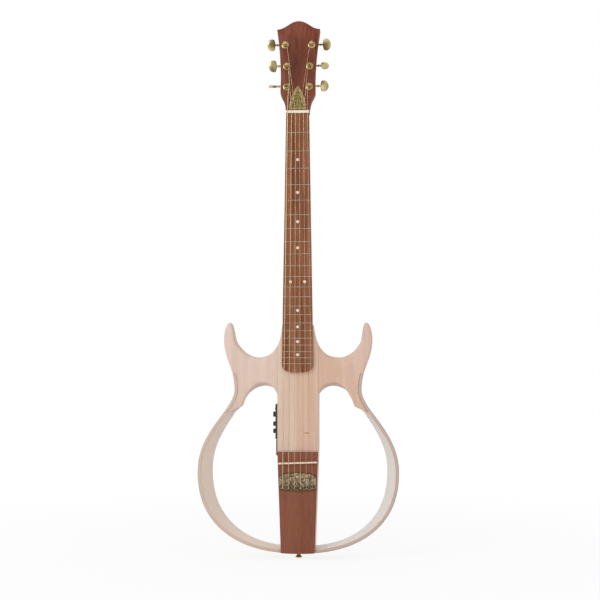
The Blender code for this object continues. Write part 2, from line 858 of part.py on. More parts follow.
def post_profile():
    """Outer side of a post from its front cap to its end in the housing."""
    seat = BUSHING_FLANGE + GAP
    end = WHEEL_DEPTH + WHEEL_FACE / 2 + 0.0008
    return [
        (0, POST_FRONT),
        (POST_RADIUS - 0.0006, POST_FRONT),
        (POST_RADIUS + 0.0003, POST_FRONT - POST_CAP * 0.4),
        (POST_RADIUS + 0.0003, POST_FRONT - POST_CAP),
        (POST_WAIST, POST_FRONT - POST_CAP - 0.0006),
        (POST_WAIST, seat),
        (POST_RADIUS, seat - 0.0006),
        (POST_RADIUS, -end),
        (0, -end),
    ]


def bushing_profile():
    """A threaded tube with a washer on the headstock's face, as a closed section."""
    bore = POST_RADIUS + GAP
    return [
        (bore, BUSHING_FLANGE),
        (BUSHING_TUBE, BUSHING_FLANGE),
        (BUSHING_RADIUS - 0.0008, BUSHING_FLANGE - 0.0003),
        (BUSHING_RADIUS, GAP),
        (BUSHING_TUBE, GAP),
        (BUSHING_TUBE, -BUSHING_LENGTH),
        (bore, -BUSHING_LENGTH),
    ]


def worm_wheel(name, head):
    """A spur-cut wheel with the gap between two teeth towards the worm."""
    outline = []
    step = 2 * math.pi / WHEEL_TEETH
    for tooth in range(WHEEL_TEETH):
        middle = math.pi / 2 + (tooth + 0.5) * step
        root_half = 0.19 * step
        tip_half = 0.09 * step
        for radius, turn in (
            (WHEEL_ROOT, -root_half),
            (WHEEL_TIP, -tip_half),
            (WHEEL_TIP, tip_half),
            (WHEEL_ROOT, root_half),
        ):
            outline.append((radius * math.cos(middle + turn), radius * math.sin(middle + turn)))
    front = WHEEL_DEPTH - WHEEL_FACE / 2
    return flat_plate(name, outline, front, front + WHEEL_FACE, None, head, True)


def housing_front():
    return VENEER_THICKNESS + GAP + HEAD_THICKNESS + GAP


def make_housing(name, side, across, up, head):
    """A die-cast box behind the headstock, open to the wood, with room for wheel and worm."""
    front = housing_front()
    low = (across - HOUSING_WIDTH / 2, front, up - HOUSING_LOW)
    high = (across + HOUSING_WIDTH / 2, front + HOUSING_DEPTH, up + HOUSING_HIGH)
    housing = box("tuner_housing_" + name, low, high, gold(), head)
    round_edges(housing, 0.0022, 1)
    floor = front + HOUSING_DEPTH - HOUSING_WALL
    room = rod_cutter(
        "wheel_room_" + name, (across, front - 0.002, up), (across, floor, up), WHEEL_TIP + 2 * GAP, 20, head
    )
    worm_half = WORM_TURNS * worm_pitch() / 2 + 0.0013
    reach = WORM_CORE + 2 * WORM_THREAD + 2 * GAP
    worm_room = box(
        "worm_room_" + name,
        (across - worm_half, front - 0.003, up + WORM_OFFSET - reach),
        (across + worm_half, WHEEL_DEPTH + reach, up + WORM_OFFSET + reach),
        None,
        head,
        True,
    )
    bore = rod_cutter(
        "shaft_bore_" + name,
        (across - side * (worm_half + 0.0012), WHEEL_DEPTH, up + WORM_OFFSET),
        (across + side * HOUSING_WIDTH, WHEEL_DEPTH, up + WORM_OFFSET),
        WORM_CORE + GAP,
        12,
        head,
    )
    cut(housing, room, worm_room, bore)


def worm_pitch():
    return math.pi * WHEEL_MODULE


def knob_outline(steps=14):
    """A kidney shape, round on the outside and drawn in where the shaft enters."""
    middle = KNOB_START + KNOB_LENGTH / 2
    points = []
    for i in range(steps):
        turn = 2 * math.pi * (i + 0.5) / steps
        out = math.cos(turn)
        reach = KNOB_LENGTH / 2
        if out < 0:
            reach *= abs(out) ** -0.2 * (1 - 0.30 * abs(out) ** 4)
        points.append((middle + reach * out, KNOB_HEIGHT / 2 * math.sin(turn)))
    return points


def make_knob(name, side, across, up, head):
    """The knob and its worm shaft, about their own axis, which points away from the headstock."""
    shaft_end = WORM_TURNS * worm_pitch() / 2 + 0.0020
    profile = [
        (0, KNOB_START + KNOB_LENGTH * 0.55),
        (0.0012, KNOB_START + KNOB_LENGTH * 0.50),
        (0.0024, KNOB_START + KNOB_LENGTH * 0.10),
        (0.0017, KNOB_START - 0.0012),
        (0.0017, KNOB_START - 0.0030),
        (0.0028, KNOB_START - 0.0040),
        (0.0017, KNOB_START - 0.0052),
        (0.0017, HOUSING_WIDTH / 2 + 0.0030),
        (0.0032, HOUSING_WIDTH / 2 + 0.0022),
        (0.0032, HOUSING_WIDTH / 2 + GAP),
        (WORM_CORE, HOUSING_WIDTH / 2 + GAP),
        (WORM_CORE, -shaft_end),
        (0, -shaft_end),
    ]
    turns = dict(zip(STRING_NAMES, KNOB_TURNS_LEFT + KNOB_TURNS_RIGHT))
    knob = turned("tuner_knob_" + name, profile, gold(), 10, head)
    knob.data.transform(Matrix.Rotation(math.pi / 2, 4, "Y"))
    knob.modifiers["turn"].axis = "X"
    knob.location = (across, WHEEL_DEPTH, up + WORM_OFFSET)
    knob.rotation_euler = (0, 0, 0 if side > 0 else math.pi)
    half = KNOB_THICKNESS / 2
    wing = flat_plate("wing_" + name, knob_outline(), -half, half, None, head, True)
    wing.data.transform(Matrix.Rotation(math.radians(turns[name]), 4, "X"))
    wing.location = knob.location
    wing.rotation_euler = knob.rotation_euler
    round_edges(wing, 0.0012, 1)
    thread = tube_mesh("thread_" + name, worm_thread(), WORM_THREAD, 0, None, head)
    thread.location = knob.location
    thread.rotation_euler = knob.rotation_euler
    join(knob, wing, thread)


def worm_thread(points_per_turn=8):
    """A right-handed thread, whose crest faces the wheel in the middle of the worm."""
    radius = WORM_CORE + WORM_THREAD * 0.6
    points = []
    count = WORM_TURNS * points_per_turn
    for i in range(count + 1):
        share = i / count - 0.5
        turn = 2 * math.pi * share * WORM_TURNS - math.pi / 2
        points.append((worm_pitch() * share * WORM_TURNS, radius * math.cos(turn), radius * math.sin(turn)))
    return points


def block_outline(top_path, bottom, steps=8):
    """Half outline of the centre block, mirrored: flared root, straight flank, taper to the tail."""
    right = [(x, z) for x, z in top_path if x < BLOCK_HALF]
    right.append((BLOCK_HALF, cross_height(top_path, BLOCK_HALF)))
    right.append((BLOCK_HALF, -PLATE_TOP))
    if bottom:
        tail = -tail_height(BLOCK_HALF_TAIL)
        right.append((block_half(tail), -tail))
        for i in range(1, steps):
            across = BLOCK_HALF_TAIL * (1 - i / steps)
            right.append((across, tail_height(across)))
        right.append((0, tail_height(0)))
        return right + [(-x, z) for x, z in reversed(right[:-1])]
    return right + [(-x, z) for x, z in reversed(right)]


def wedge(name, section, half):
    """A prism across the guitar with a section of (depth, height) points."""
    rings = [[(x, y, z) for y, z in section] for x in (-half, half)]
    return loft(name, rings, None, None, True)


def heel_slope():
    """What is cut off the block's upper back corner, up to the depth of the neck's heel."""
    depth = BOARD_THICKNESS + HEEL_DEPTH + 2 * GAP
    behind = BODY_BACK + 0.02
    run = (HEEL_SLOPE_END - NECK_LENGTH) * (behind - depth) / (BODY_BACK - depth)
    section = [(depth, -NECK_LENGTH), (behind, -NECK_LENGTH - run), (behind, -NECK_LENGTH + 0.02)]
    section.append((depth, -NECK_LENGTH + 0.02))
    return wedge("heel_slope", section, 0.06)


def make_block():
    """The centre block, its pale front plate and the brown tail plate."""
    path = cutaway_path()
    core = flat_plate("centre_block", block_outline(path, True), CORE_FRONT, BODY_BACK, pale_wood())
    tongue_pocket = box(
        "tongue_pocket",
        (-TONGUE_WIDTH / 2 - GAP, CORE_FRONT - 0.01, -NECK_LENGTH - TONGUE_LENGTH - GAP),
        (TONGUE_WIDTH / 2 + GAP, CORE_FRONT + TONGUE_DEPTH + GAP, -NECK_LENGTH + 0.02),
        None,
        None,
        True,
    )
    cut(core, tongue_pocket, heel_slope(), preamp_pocket(), drawer_pocket(), *rear_cavity(), jack_hole())
    flat_plate("centre_top", block_outline(path, False), TOP_FACE, TOP_FACE + TOP_THICKNESS, pale_wood())
    plate = flat_plate("tail_plate", tail_plate_outline(), PLATE_FACE, CORE_FRONT - GAP, brown_wood())
    cut(plate, saddle_box("saddle_slot", -0.02, SADDLE_SLOT_FLOOR, GAP, None, True))


def tail_plate_outline(steps=10):
    right = [(BLOCK_HALF, -PLATE_TOP - GAP)]
    for i in range(steps):
        across = BLOCK_HALF_TAIL * (1 - i / steps)
        right.append((across, tail_height(across)))
    return right + [(0, -BODY_TAIL)] + [(-x, z) for x, z in reversed(right)]


def saddle_box(name, front, back, extra, finish, cutter=False):
    """A box along the saddle's slanted line, grown by a clearance."""
    turn = Matrix.Rotation(-math.atan(SADDLE_SLANT / SADDLE_LENGTH), 3, "Y")
    middle = Vector((0, 0, -saddle_down(0)))
    low = middle + Vector((-SADDLE_LENGTH / 2 - extra, front, -SADDLE_THICKNESS / 2 - extra))
    high = middle + Vector((SADDLE_LENGTH / 2 + extra, back, SADDLE_THICKNESS / 2 + extra))
    shape = bmesh.new()
    add_box(shape, low, high, turn, middle)
    return place(name, to_mesh(shape, name), finish, None, cutter)


def make_bridge():
    """Saddle, the pickup strip under it, and the tailpiece with a pocket for each ball end."""
    strip_front = SADDLE_SLOT_FLOOR - GAP - PIEZO_THICKNESS
    saddle = saddle_box("saddle", -STRING_RISE_SADDLE, strip_front - GAP, 0, ivory())
    round_edges(saddle, 0.0008, 2)
    saddle_box("pickup_strip", strip_front, SADDLE_SLOT_FLOOR - GAP, 0, steel())
    back = PLATE_FACE - GAP
    tailpiece = flat_plate("tailpiece", tailpiece_outline(), back - TAILPIECE_THICKNESS, back, ornament())
    shape = bmesh.new()
    for index in range(len(STRING_NAMES)):
        across = string_across(index, BALL_DOWN)
        half = BALL_LENGTH / 2 + GAP
        reach = BALL_RADIUS + GAP
        low = (across - half, back - TAILPIECE_THICKNESS - 0.01, -BALL_DOWN - reach)
        add_box(shape, low, (across + half, back - BALL_FLOOR, -BALL_DOWN + reach))
    cut(tailpiece, place("ball_pockets", to_mesh(shape, "ball_pockets"), None, None, True))


def tailpiece_outline(steps=8):
    """Arched top, straight sides and a gently sagging lower edge."""
    foot = -TAILPIECE_TOP - TAILPIECE_HEIGHT
    right = []
    for i in range(steps // 2):
        share = 1 - i / (steps // 2)
        right.append((TAILPIECE_HALF * share, foot + TAILPIECE_SAG * share**2))
    right.reverse()
    for i in range(steps):
        turn = math.pi / 2 * i / steps
        rise = TAILPIECE_ARCH * math.sin(turn)
        right.append((TAILPIECE_HALF * math.cos(turn) ** 0.8, -TAILPIECE_TOP - TAILPIECE_ARCH + rise))
    top = [(0, -TAILPIECE_TOP)]
    return [(0, foot)] + right + top + [(-x, z) for x, z in reversed(right)]


def clip_path(path, high, low):
    """The stretch of a falling path between two heights, with a point on each."""
    kept = []
    for (ax, az), (bx, bz) in zip(path, path[1:]):
        for level in (high, low):
            if bz < level <= az and az > bz:
                share = (az - level) / (az - bz)
                kept.append((ax + (bx - ax) * share, level))
        if low < bz < high:
            kept.append((bx, bz))
    return kept


def shoulder_outline():
    """Half a shoulder's outline at its front and at its back, and where the arch starts in them."""
    path = cutaway_path()
    seam = BLOCK_HALF + GAP
    upper = [(seam, cross_height(path, seam))] + [(x, z) for x, z in path if x > seam + 0.001]
    flank = flank_path()
    outer = clip_path(flank, -HORN_TIP[1] - 0.0005, -RIM_START)
    scarf = inset(clip_path(flank, -RIM_START, -SHOULDER_END), RIM_THICKNESS + GAP)
    edge = upper + outer + scarf
    front, back = [edge + list(reversed(arch_path(carve))) for carve in (0.0, TONGUE_CARVE)]
    return front, back, len(edge)


def shoulder_thickness(z):
    rise = smoothstep((-z - HORN_TIP[1]) / (LEAN_START - HORN_TIP[1]))
    return HORN_THICKNESS + (SHOULDER_DEPTH - HORN_THICKNESS) * rise


def make_shoulder(name, side):
    """A carved board from the block to the horn and down to the tongue beside the rim."""
    ahead, behind, first_arch = shoulder_outline()
    count = len(ahead)
    front = []
    back = []
    for i, ((x, z), (back_x, back_z)) in enumerate(zip(ahead, behind)):
        lift = 0.0
        if i >= first_arch:
            lift = ARCH_FLARE * math.sin(math.pi * (i - first_arch) / (count - 1 - first_arch))
        front.append(lean(side * x, TOP_FACE, z + lift))
        back.append(lean(side * back_x, TOP_FACE + shoulder_thickness(back_z), back_z))
    shoulder = loft(name, [front, back], pale_wood())
    shape = bmesh.new()
    shape.from_mesh(shoulder.data)
    weight = shape.edges.layers.float.new("bevel_weight_edge")
    for edge in shape.edges:
        ends = [vert.co for vert in edge.verts]
        on_seam = all(abs(end.x) < BLOCK_HALF + 2 * GAP for end in ends)
        across_edge = abs(ends[0].y - ends[1].y) < 0.012
        edge[weight] = 1.0 if across_edge and not on_seam else 0.0
    shape.to_mesh(shoulder.data)
    shape.free()
    bevel = shoulder.modifiers.new("round", "BEVEL")
    bevel.width = EDGE_ROUND
    bevel.segments = 2
    bevel.limit_method = "WEIGHT"


def make_rim(name, side):
    """A bent strip from the shoulder round the lower bout to the block."""
    stop = block_half(BODY_TAIL) + GAP
    flank = clip_path(flank_path(), -RIM_START - GAP, -BODY_WIDEST + 0.0001)
    path = flank + tail_path(stop)
    inner = inset(path, RIM_THICKNESS)
    rings = []
    for outside, inside in zip(path, inner):
        ring = []
        for (x, z), y in (
            (outside, RIM_FRONT),
            (inside, RIM_FRONT),
            (inside, RIM_FRONT + RIM_DEPTH),
            (outside, RIM_FRONT + RIM_DEPTH),
        ):
            kept = max(x, block_half(-z) + GAP)
            ring.append(lean(side * kept, y, z))
        rings.append(ring)
    loft(name, rings, pale_wood())


def preamp_middle():
    return -(PREAMP_TOP + PREAMP_LENGTH / 2)


def panel_outside():
    return -BLOCK_HALF - GAP - PREAMP_PROUD


def preamp_pocket():
    half = PREAMP_BOX_LENGTH / 2 + GAP
    depth = PREAMP_BOX_DEPTH / 2 + GAP
    middle = Vector((-BLOCK_HALF, PREAMP_DEPTH_MIDDLE, preamp_middle()))
    low = middle - Vector((0.01, depth, half))
    high = middle + Vector((PREAMP_BOX_REACH + GAP, depth, half))
    return box("preamp_pocket", low, high, None, None, True)


def drawer_middle():
    return -(PREAMP_TOP + PREAMP_LENGTH + 2 * GAP + DRAWER_FACE_HEIGHT / 2)


def drawer_half():
    """Half the drawer's tray across its depth and its height."""
    extra = GAP + DRAWER_WALL
    return BATTERY_SIZE[1] / 2 + extra, BATTERY_SIZE[2] / 2 + extra


def drawer_reach():
    """How far the tray goes into the block."""
    return BATTERY_SIZE[0] + 2 * DRAWER_WALL + 2 * GAP


def drawer_pocket():
    depth, height = drawer_half()
    middle = Vector((-BLOCK_HALF, PREAMP_DEPTH_MIDDLE, drawer_middle()))
    low = middle - Vector((0.01, depth + GAP, height + GAP))
    high = middle + Vector((drawer_reach() + GAP, depth + GAP, height + GAP))
    return box("drawer_pocket", low, high, None, None, True)


def make_preamp():
    """Black side panel and box, with its circuit board and pots, three knobs and a push button."""
    finish = black_plastic()
    outside = panel_outside()
    half_panel = PREAMP_PANEL_DEPTH / 2
    half_length = PREAMP_LENGTH / 2
    middle = Vector((0, PREAMP_DEPTH_MIDDLE, preamp_middle()))
    low = middle + Vector((outside, -half_panel, -half_length))
    high = middle + Vector((-BLOCK_HALF - GAP, half_panel, half_length))
    housing = box("preamp_housing", low, high, finish)
    round_edges(housing, 0.0015, 1)
    inner_end = -BLOCK_HALF + PREAMP_BOX_REACH
    box_low = middle + Vector((outside + 0.002, -PREAMP_BOX_DEPTH / 2, -PREAMP_BOX_LENGTH / 2))
    box_high = middle + Vector((inner_end, PREAMP_BOX_DEPTH / 2, PREAMP_BOX_LENGTH / 2))
    join(housing, box("preamp_box", box_low, box_high, None, None, True))
    inner_depth = PREAMP_BOX_DEPTH / 2 - PREAMP_WALL
    inner_length = PREAMP_BOX_LENGTH / 2 - PREAMP_WALL
    cavity_front = outside + PANEL_WALL
    room_low = middle + Vector((cavity_front, -inner_depth, -inner_length))
    room_high = middle + Vector((inner_end + 0.01, inner_depth, inner_length))
    drills = bmesh.new()
    for down in PREAMP_KNOB_DOWN:
        start = (outside - 0.01, PREAMP_DEPTH_MIDDLE, -down)
        add_rod(drills, start, (cavity_front + 0.002, PREAMP_DEPTH_MIDDLE, -down), POT_SHAFT + GAP, 12)
    start = (outside - 0.01, PREAMP_DEPTH_MIDDLE, -BUTTON_DOWN)
    add_rod(drills, start, (cavity_front + 0.002, PREAMP_DEPTH_MIDDLE, -BUTTON_DOWN), BUTTON_RADIUS + GAP, 14)
    cut(housing, box("preamp_room", room_low, room_high, None, None, True))
    cut(housing, place("panel_drills", to_mesh(drills, "panel_drills"), None, None, True))
    board_x = cavity_front + POT_SETBACK + POT_LENGTH
    board_low = middle + Vector((board_x, GAP - inner_depth, GAP - inner_length))
    board_high = middle + Vector((board_x + BOARD_SHEET, inner_depth - GAP, inner_length - GAP))
    board = box("circuit_board", board_low, board_high, material("circuit_green", (0.02, 0.16, 0.06), 0.4))
    for number, down in enumerate(PREAMP_KNOB_DOWN):
        start = (cavity_front + POT_SETBACK, PREAMP_DEPTH_MIDDLE, -down)
        end = (board_x + BOARD_SHEET / 2, PREAMP_DEPTH_MIDDLE, -down)
        join(board, rod_cutter(f"pot_{number}", start, end, POT_RADIUS, 12))
    shaft = PANEL_WALL + POT_SETBACK
    for name, down, radius in zip(PREAMP_KNOB_NAMES, PREAMP_KNOB_DOWN, PREAMP_KNOB_RADIUS):
        profile = [
            (0, PREAMP_KNOB_HEIGHT),
            (radius - 0.0006, PREAMP_KNOB_HEIGHT),
            (radius, PREAMP_KNOB_HEIGHT - 0.0006),
            (radius, 0),
            (POT_SHAFT, 0),
            (POT_SHAFT, -shaft),
            (0, -shaft),
        ]
        knob = turned(name, profile, finish, 16)
        knob.location = (outside - GAP, PREAMP_DEPTH_MIDDLE, -down)
        knob.rotation_euler = (0, -math.pi / 2, 0)
    stay = -PANEL_WALL - GAP
    profile = [
        (0, BUTTON_PROUD),
        (BUTTON_RADIUS - 0.0003, BUTTON_PROUD),
        (BUTTON_RADIUS, BUTTON_PROUD - 0.0003),
        (BUTTON_RADIUS, stay),
        (BUTTON_RADIUS + 0.0008, stay),
        (BUTTON_RADIUS + 0.0008, stay - 0.0012),
        (0, stay - 0.0012),
    ]
    button = turned("check_button", profile, material("grey_plastic", (0.2, 0.2, 0.2), 0.5), 14)
    button.location = (outside, PREAMP_DEPTH_MIDDLE, -BUTTON_DOWN)
    button.rotation_euler = (0, -math.pi / 2, 0)


def make_battery_drawer():
    """A tray open to the back that carries the battery, with its face under the preamp's panel."""
    depth, height = drawer_half()
    middle = Vector((0, PREAMP_DEPTH_MIDDLE, drawer_middle()))
    start = -BLOCK_HALF
    low = middle + Vector((start - GAP - DRAWER_FACE_PROUD / 2, -depth, -height))
    high = middle + Vector((start + drawer_reach(), depth, height))
    drawer = box("battery_drawer", low, high, black_plastic())
    half_face = Vector((0, PREAMP_PANEL_DEPTH / 2, DRAWER_FACE_HEIGHT / 2))
    face_low = middle + Vector((start - GAP - DRAWER_FACE_PROUD, 0, 0)) - half_face
    face_high = middle + Vector((start - GAP, 0, 0)) + half_face
    join(drawer, box("drawer_face", face_low, face_high, None, None, True))
    half_depth, half_height = BATTERY_SIZE[1] / 2, BATTERY_SIZE[2] / 2
    inner = start + DRAWER_WALL
    room_low = middle + Vector((inner, -half_depth - GAP, -half_height - GAP))
    room_high = middle + Vector((inner + BATTERY_SIZE[0] + 2 * GAP, depth + 0.01, half_height + GAP))
    cut(drawer, box("battery_room", room_low, room_high, None, None, True))
    battery_low = middle + Vector((inner + GAP, -half_depth, -half_height))
    battery_high = middle + Vector((inner + GAP + BATTERY_SIZE[0], half_depth, half_height))
    finish = material("battery_case", (0.25, 0.25, 0.27), 0.35, 0.6)
    battery = box("battery", battery_low, battery_high, finish)
    round_edges(battery, 0.0012, 1)


def jack_frame_matrix():
    """Frame on the block's tapered bass flank, with X pointing out of it."""
    fall = math.atan((BLOCK_HALF - BLOCK_HALF_TAIL) / (BODY_TAIL - PLATE_TOP))
    place_at = Vector((-block_half(JACK_DOWN), JACK_DEPTH_MIDDLE, -JACK_DOWN))
    turned = Matrix.Rotation(math.pi, 4, "Z") @ Matrix.Rotation(fall, 4, "Y")
    return Matrix.Translation(place_at) @ turned


def jack_hole():
    matrix = jack_frame_matrix()
    start, end = matrix @ Vector((-JACK_LENGTH - GAP, 0, 0)), matrix @ Vector((0.01, 0, 0))
    return rod_cutter("jack_hole", start, end, JACK_RADIUS + GAP, 14)


def make_jack():
    """Output socket with its plate, in the block's bass flank."""
    frame = bpy.data.objects.new("jack_frame", None)
    GUITAR.objects.link(frame)
    frame.matrix_world = jack_frame_matrix()
    width, height, thickness = JACK_PLATE
    nose = JACK_RADIUS - 0.0012
    low = (GAP, -width / 2, -height / 2)
    high = (GAP + thickness, width / 2, height / 2)
    plate = box("jack_plate", low, high, nickel(), frame)
    round_edges(plate, 0.0005, 1)
    cut(plate, rod_cutter("plate_hole", (-0.01, 0, 0), (0.01, 0, 0), nose + GAP, 14, frame))
    floor = -JACK_LENGTH + 0.002
    front = GAP + thickness + 0.0010
    profile = [
        (0, floor),
        (JACK_BORE, floor),
        (JACK_BORE, front),
        (nose, front),
        (nose, 0),
        (JACK_RADIUS, 0),
        (JACK_RADIUS, -JACK_LENGTH),
        (0, -JACK_LENGTH),
    ]
    jack = turned("output_jack", profile, nickel(), 16, frame)
    jack.rotation_euler = (0, math.pi / 2, 0)


def rear_cavity():
    """A room behind the bridge for the wiring, with a ledge for its cover."""
    width, height, thickness = REAR_COVER
    recess = box(
        "cover_recess",
        (-width / 2 - GAP, BODY_BACK - thickness - GAP, -REAR_COVER_MIDDLE - height / 2 - GAP),
        (width / 2 + GAP, BODY_BACK + 0.01, -REAR_COVER_MIDDLE + height / 2 + GAP),
        None,
        None,
        True,
    )
    room = box(
        "wiring_room",
        (REAR_LEDGE - width / 2, BODY_BACK - REAR_CAVITY_DEPTH, REAR_LEDGE - REAR_COVER_MIDDLE - height / 2),
        (width / 2 - REAR_LEDGE, BODY_BACK, height / 2 - REAR_COVER_MIDDLE - REAR_LEDGE),
        None,
        None,
        True,
    )
    return recess, room


def make_rear_cover():
    width, height, thickness = REAR_COVER
    low = (-width / 2, BODY_BACK - thickness, -REAR_COVER_MIDDLE - height / 2)
    high = (width / 2, BODY_BACK, -REAR_COVER_MIDDLE + height / 2)
    box("rear_cover", low, high, black_plastic())


def strap_profile():
    """Strap button from its foot to its flat outer end."""
    return [
        (0, -GAP),
        (STRAP_STEM + 0.0012, -GAP),
        (STRAP_STEM, -0.0016),
        (STRAP_STEM, -STRAP_LENGTH * 0.55),
        (STRAP_FLANGE, -STRAP_LENGTH * 0.82),
        (STRAP_FLANGE - 0.0003, -STRAP_LENGTH * 0.93),
        (STRAP_STEM + 0.0004, -STRAP_LENGTH),
        (0, -STRAP_LENGTH),
    ]


def make_strap_buttons():
    tail = turned("strap_button_tail", strap_profile(), gold(), 18)
    tail.location = (0, STRAP_DEPTH, -BODY_TAIL)
    heel = turned("strap_button_heel", strap_profile(), gold(), 18)
    heel.location = (0, BODY_BACK, -HEEL_STRAP_DOWN)
    heel.rotation_euler = (math.pi / 2, 0, 0)


def build():
    clear_scene()
    head = bpy.data.objects.new("headstock_frame", None)
    GUITAR.objects.link(head)
    head.matrix_world = HEAD_MATRIX
    make_fretboard()
    drills, pocket = make_neck(head)
    make_head_face(head, drills, pocket)
    make_truss_rod()
    make_nut()
    for index in range(len(STRING_NAMES)):
        make_tuner(index, head)
        make_string(index)
    make_block()
    make_bridge()
    for side, word in ((-1, "bass"), (1, "treble")):
        make_shoulder("shoulder_" + word, side)
        make_rim("rim_" + word, side)
    make_preamp()
    make_battery_drawer()
    make_jack()
    make_rear_cover()
    make_strap_buttons()


build()
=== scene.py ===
import math

import bmesh
import bpy
import numpy as np
from mathutils import Matrix, Vector, geometry


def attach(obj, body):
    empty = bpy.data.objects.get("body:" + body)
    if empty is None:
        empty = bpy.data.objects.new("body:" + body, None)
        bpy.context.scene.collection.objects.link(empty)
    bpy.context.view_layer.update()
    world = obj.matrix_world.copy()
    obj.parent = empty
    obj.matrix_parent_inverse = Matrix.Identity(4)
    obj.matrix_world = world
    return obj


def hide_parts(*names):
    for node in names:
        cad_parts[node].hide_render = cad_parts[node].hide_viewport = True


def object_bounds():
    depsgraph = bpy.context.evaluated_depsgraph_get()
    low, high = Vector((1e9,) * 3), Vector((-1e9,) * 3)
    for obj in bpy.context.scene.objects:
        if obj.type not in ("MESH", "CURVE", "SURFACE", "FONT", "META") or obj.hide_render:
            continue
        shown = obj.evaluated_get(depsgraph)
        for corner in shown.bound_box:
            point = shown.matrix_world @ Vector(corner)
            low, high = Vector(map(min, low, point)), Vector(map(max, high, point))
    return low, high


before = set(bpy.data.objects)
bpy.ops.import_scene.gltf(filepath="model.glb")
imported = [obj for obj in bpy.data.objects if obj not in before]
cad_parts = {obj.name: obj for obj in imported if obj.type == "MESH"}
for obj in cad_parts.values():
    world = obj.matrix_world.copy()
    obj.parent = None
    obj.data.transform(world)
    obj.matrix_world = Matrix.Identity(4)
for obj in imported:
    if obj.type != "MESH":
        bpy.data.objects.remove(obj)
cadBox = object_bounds()
print("frame loaded:", len(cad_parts), "solids")

mm = 0.001
gap = 0.3 * mm  # clearance between neighbours
weldReach = 1e-7
over = 10 * mm  # how far a cutting tool reaches past what it cuts
stringNames = ("low_e", "a", "d", "g", "b", "high_e")
bothSides = ((-1, "bass"), (1, "treble"))


def inMm(**given):  # settings whose numbers are millimetres
    for key, value in given.items():
        given[key] = tuple(v * mm for v in value) if isinstance(value, tuple) else value * mm
    return given


# camera, light and floor

cameraSet = {"place": (0.144, -2.2, -0.443), "yaw": 3.627, "pitch": 1.581, "lens": 71.316, "shiftUp": 0.03}
lightSet = {
    "sky": 0.68, "paper": 0.93, "floorGlow": 0.86, "floorFade": (0.7, 1.5),
    "lamps": (  # name, place, aim, size, power
        ("keyLamp", (-1.5, -1.9, 0.9), (0, 0, -0.35), 1.3, 22.0),
        ("fillLamp", (1.7, -1.6, 0.2), (0, 0, -0.45), 1.8, 5.0),
    ),
}


def linked(name, data):
    item = bpy.data.objects.new(name, data)
    bpy.context.scene.collection.objects.link(item)
    return item


def makeCamera():
    data = bpy.data.cameras.new("photoCamera")
    data.lens = cameraSet["lens"]
    data.shift_y = cameraSet["shiftUp"]
    data.clip_start, data.clip_end = 0.05, 50
    camera = linked("photoCamera", data)
    camera.location = cameraSet["place"]
    camera.rotation_euler = (math.radians(90 + cameraSet["pitch"]), 0, math.radians(cameraSet["yaw"]))
    bpy.context.scene.camera = camera


def makeLamp(name, place, aim, size, power):
    data = bpy.data.lights.new(name, "AREA")
    data.shape, data.size, data.energy = "DISK", size, power
    lamp = linked(name, data)
    lamp.location = place
    lamp.rotation_euler = (Vector(place) - Vector(aim)).to_track_quat("Z", "Y").to_euler()


def addNode(tree, kind, given=None, **settings):
    node = tree.nodes.new(kind)
    for key, value in settings.items():
        setattr(node, key, value)
    for key, value in (given or {}).items():
        if isinstance(value, bpy.types.NodeSocket):
            tree.links.new(value, node.inputs[key])
        else:
            node.inputs[key].default_value = value
    return node


def shaded(tree, kind, given=None, **settings):  # the first output of a new shader node
    return addNode(tree, "ShaderNode" + kind, given, **settings).outputs[0]


def doMath(tree, kind, first, second=0.0, third=0.0, clamp=False):
    return shaded(tree, "Math", {0: first, 1: second, 2: third}, operation=kind, use_clamp=clamp)


def ranged(tree, value, low, high, first=0.0, last=1.0, **settings):  # a range of values over another range
    given = {"Value": value, "From Min": low, "From Max": high, "To Min": first, "To Max": last}
    return shaded(tree, "MapRange", given, **settings)


def objectCoord(tree):
    return addNode(tree, "ShaderNodeTexCoord").outputs["Object"]


def swayed(tree, value, reach, base, clamp=False):  # base plus a share of how far a value is from one half
    return doMath(tree, "MULTIPLY_ADD", doMath(tree, "SUBTRACT", value, 0.5), reach, base, clamp)


def isBackdropRay(tree):  # rays that should meet the plain white studio
    path = addNode(tree, "ShaderNodeLightPath")
    both = doMath(tree, "ADD", path.outputs["Is Camera Ray"], path.outputs["Is Glossy Ray"])
    return doMath(tree, "ADD", both, path.outputs["Is Transmission Ray"], clamp=True)


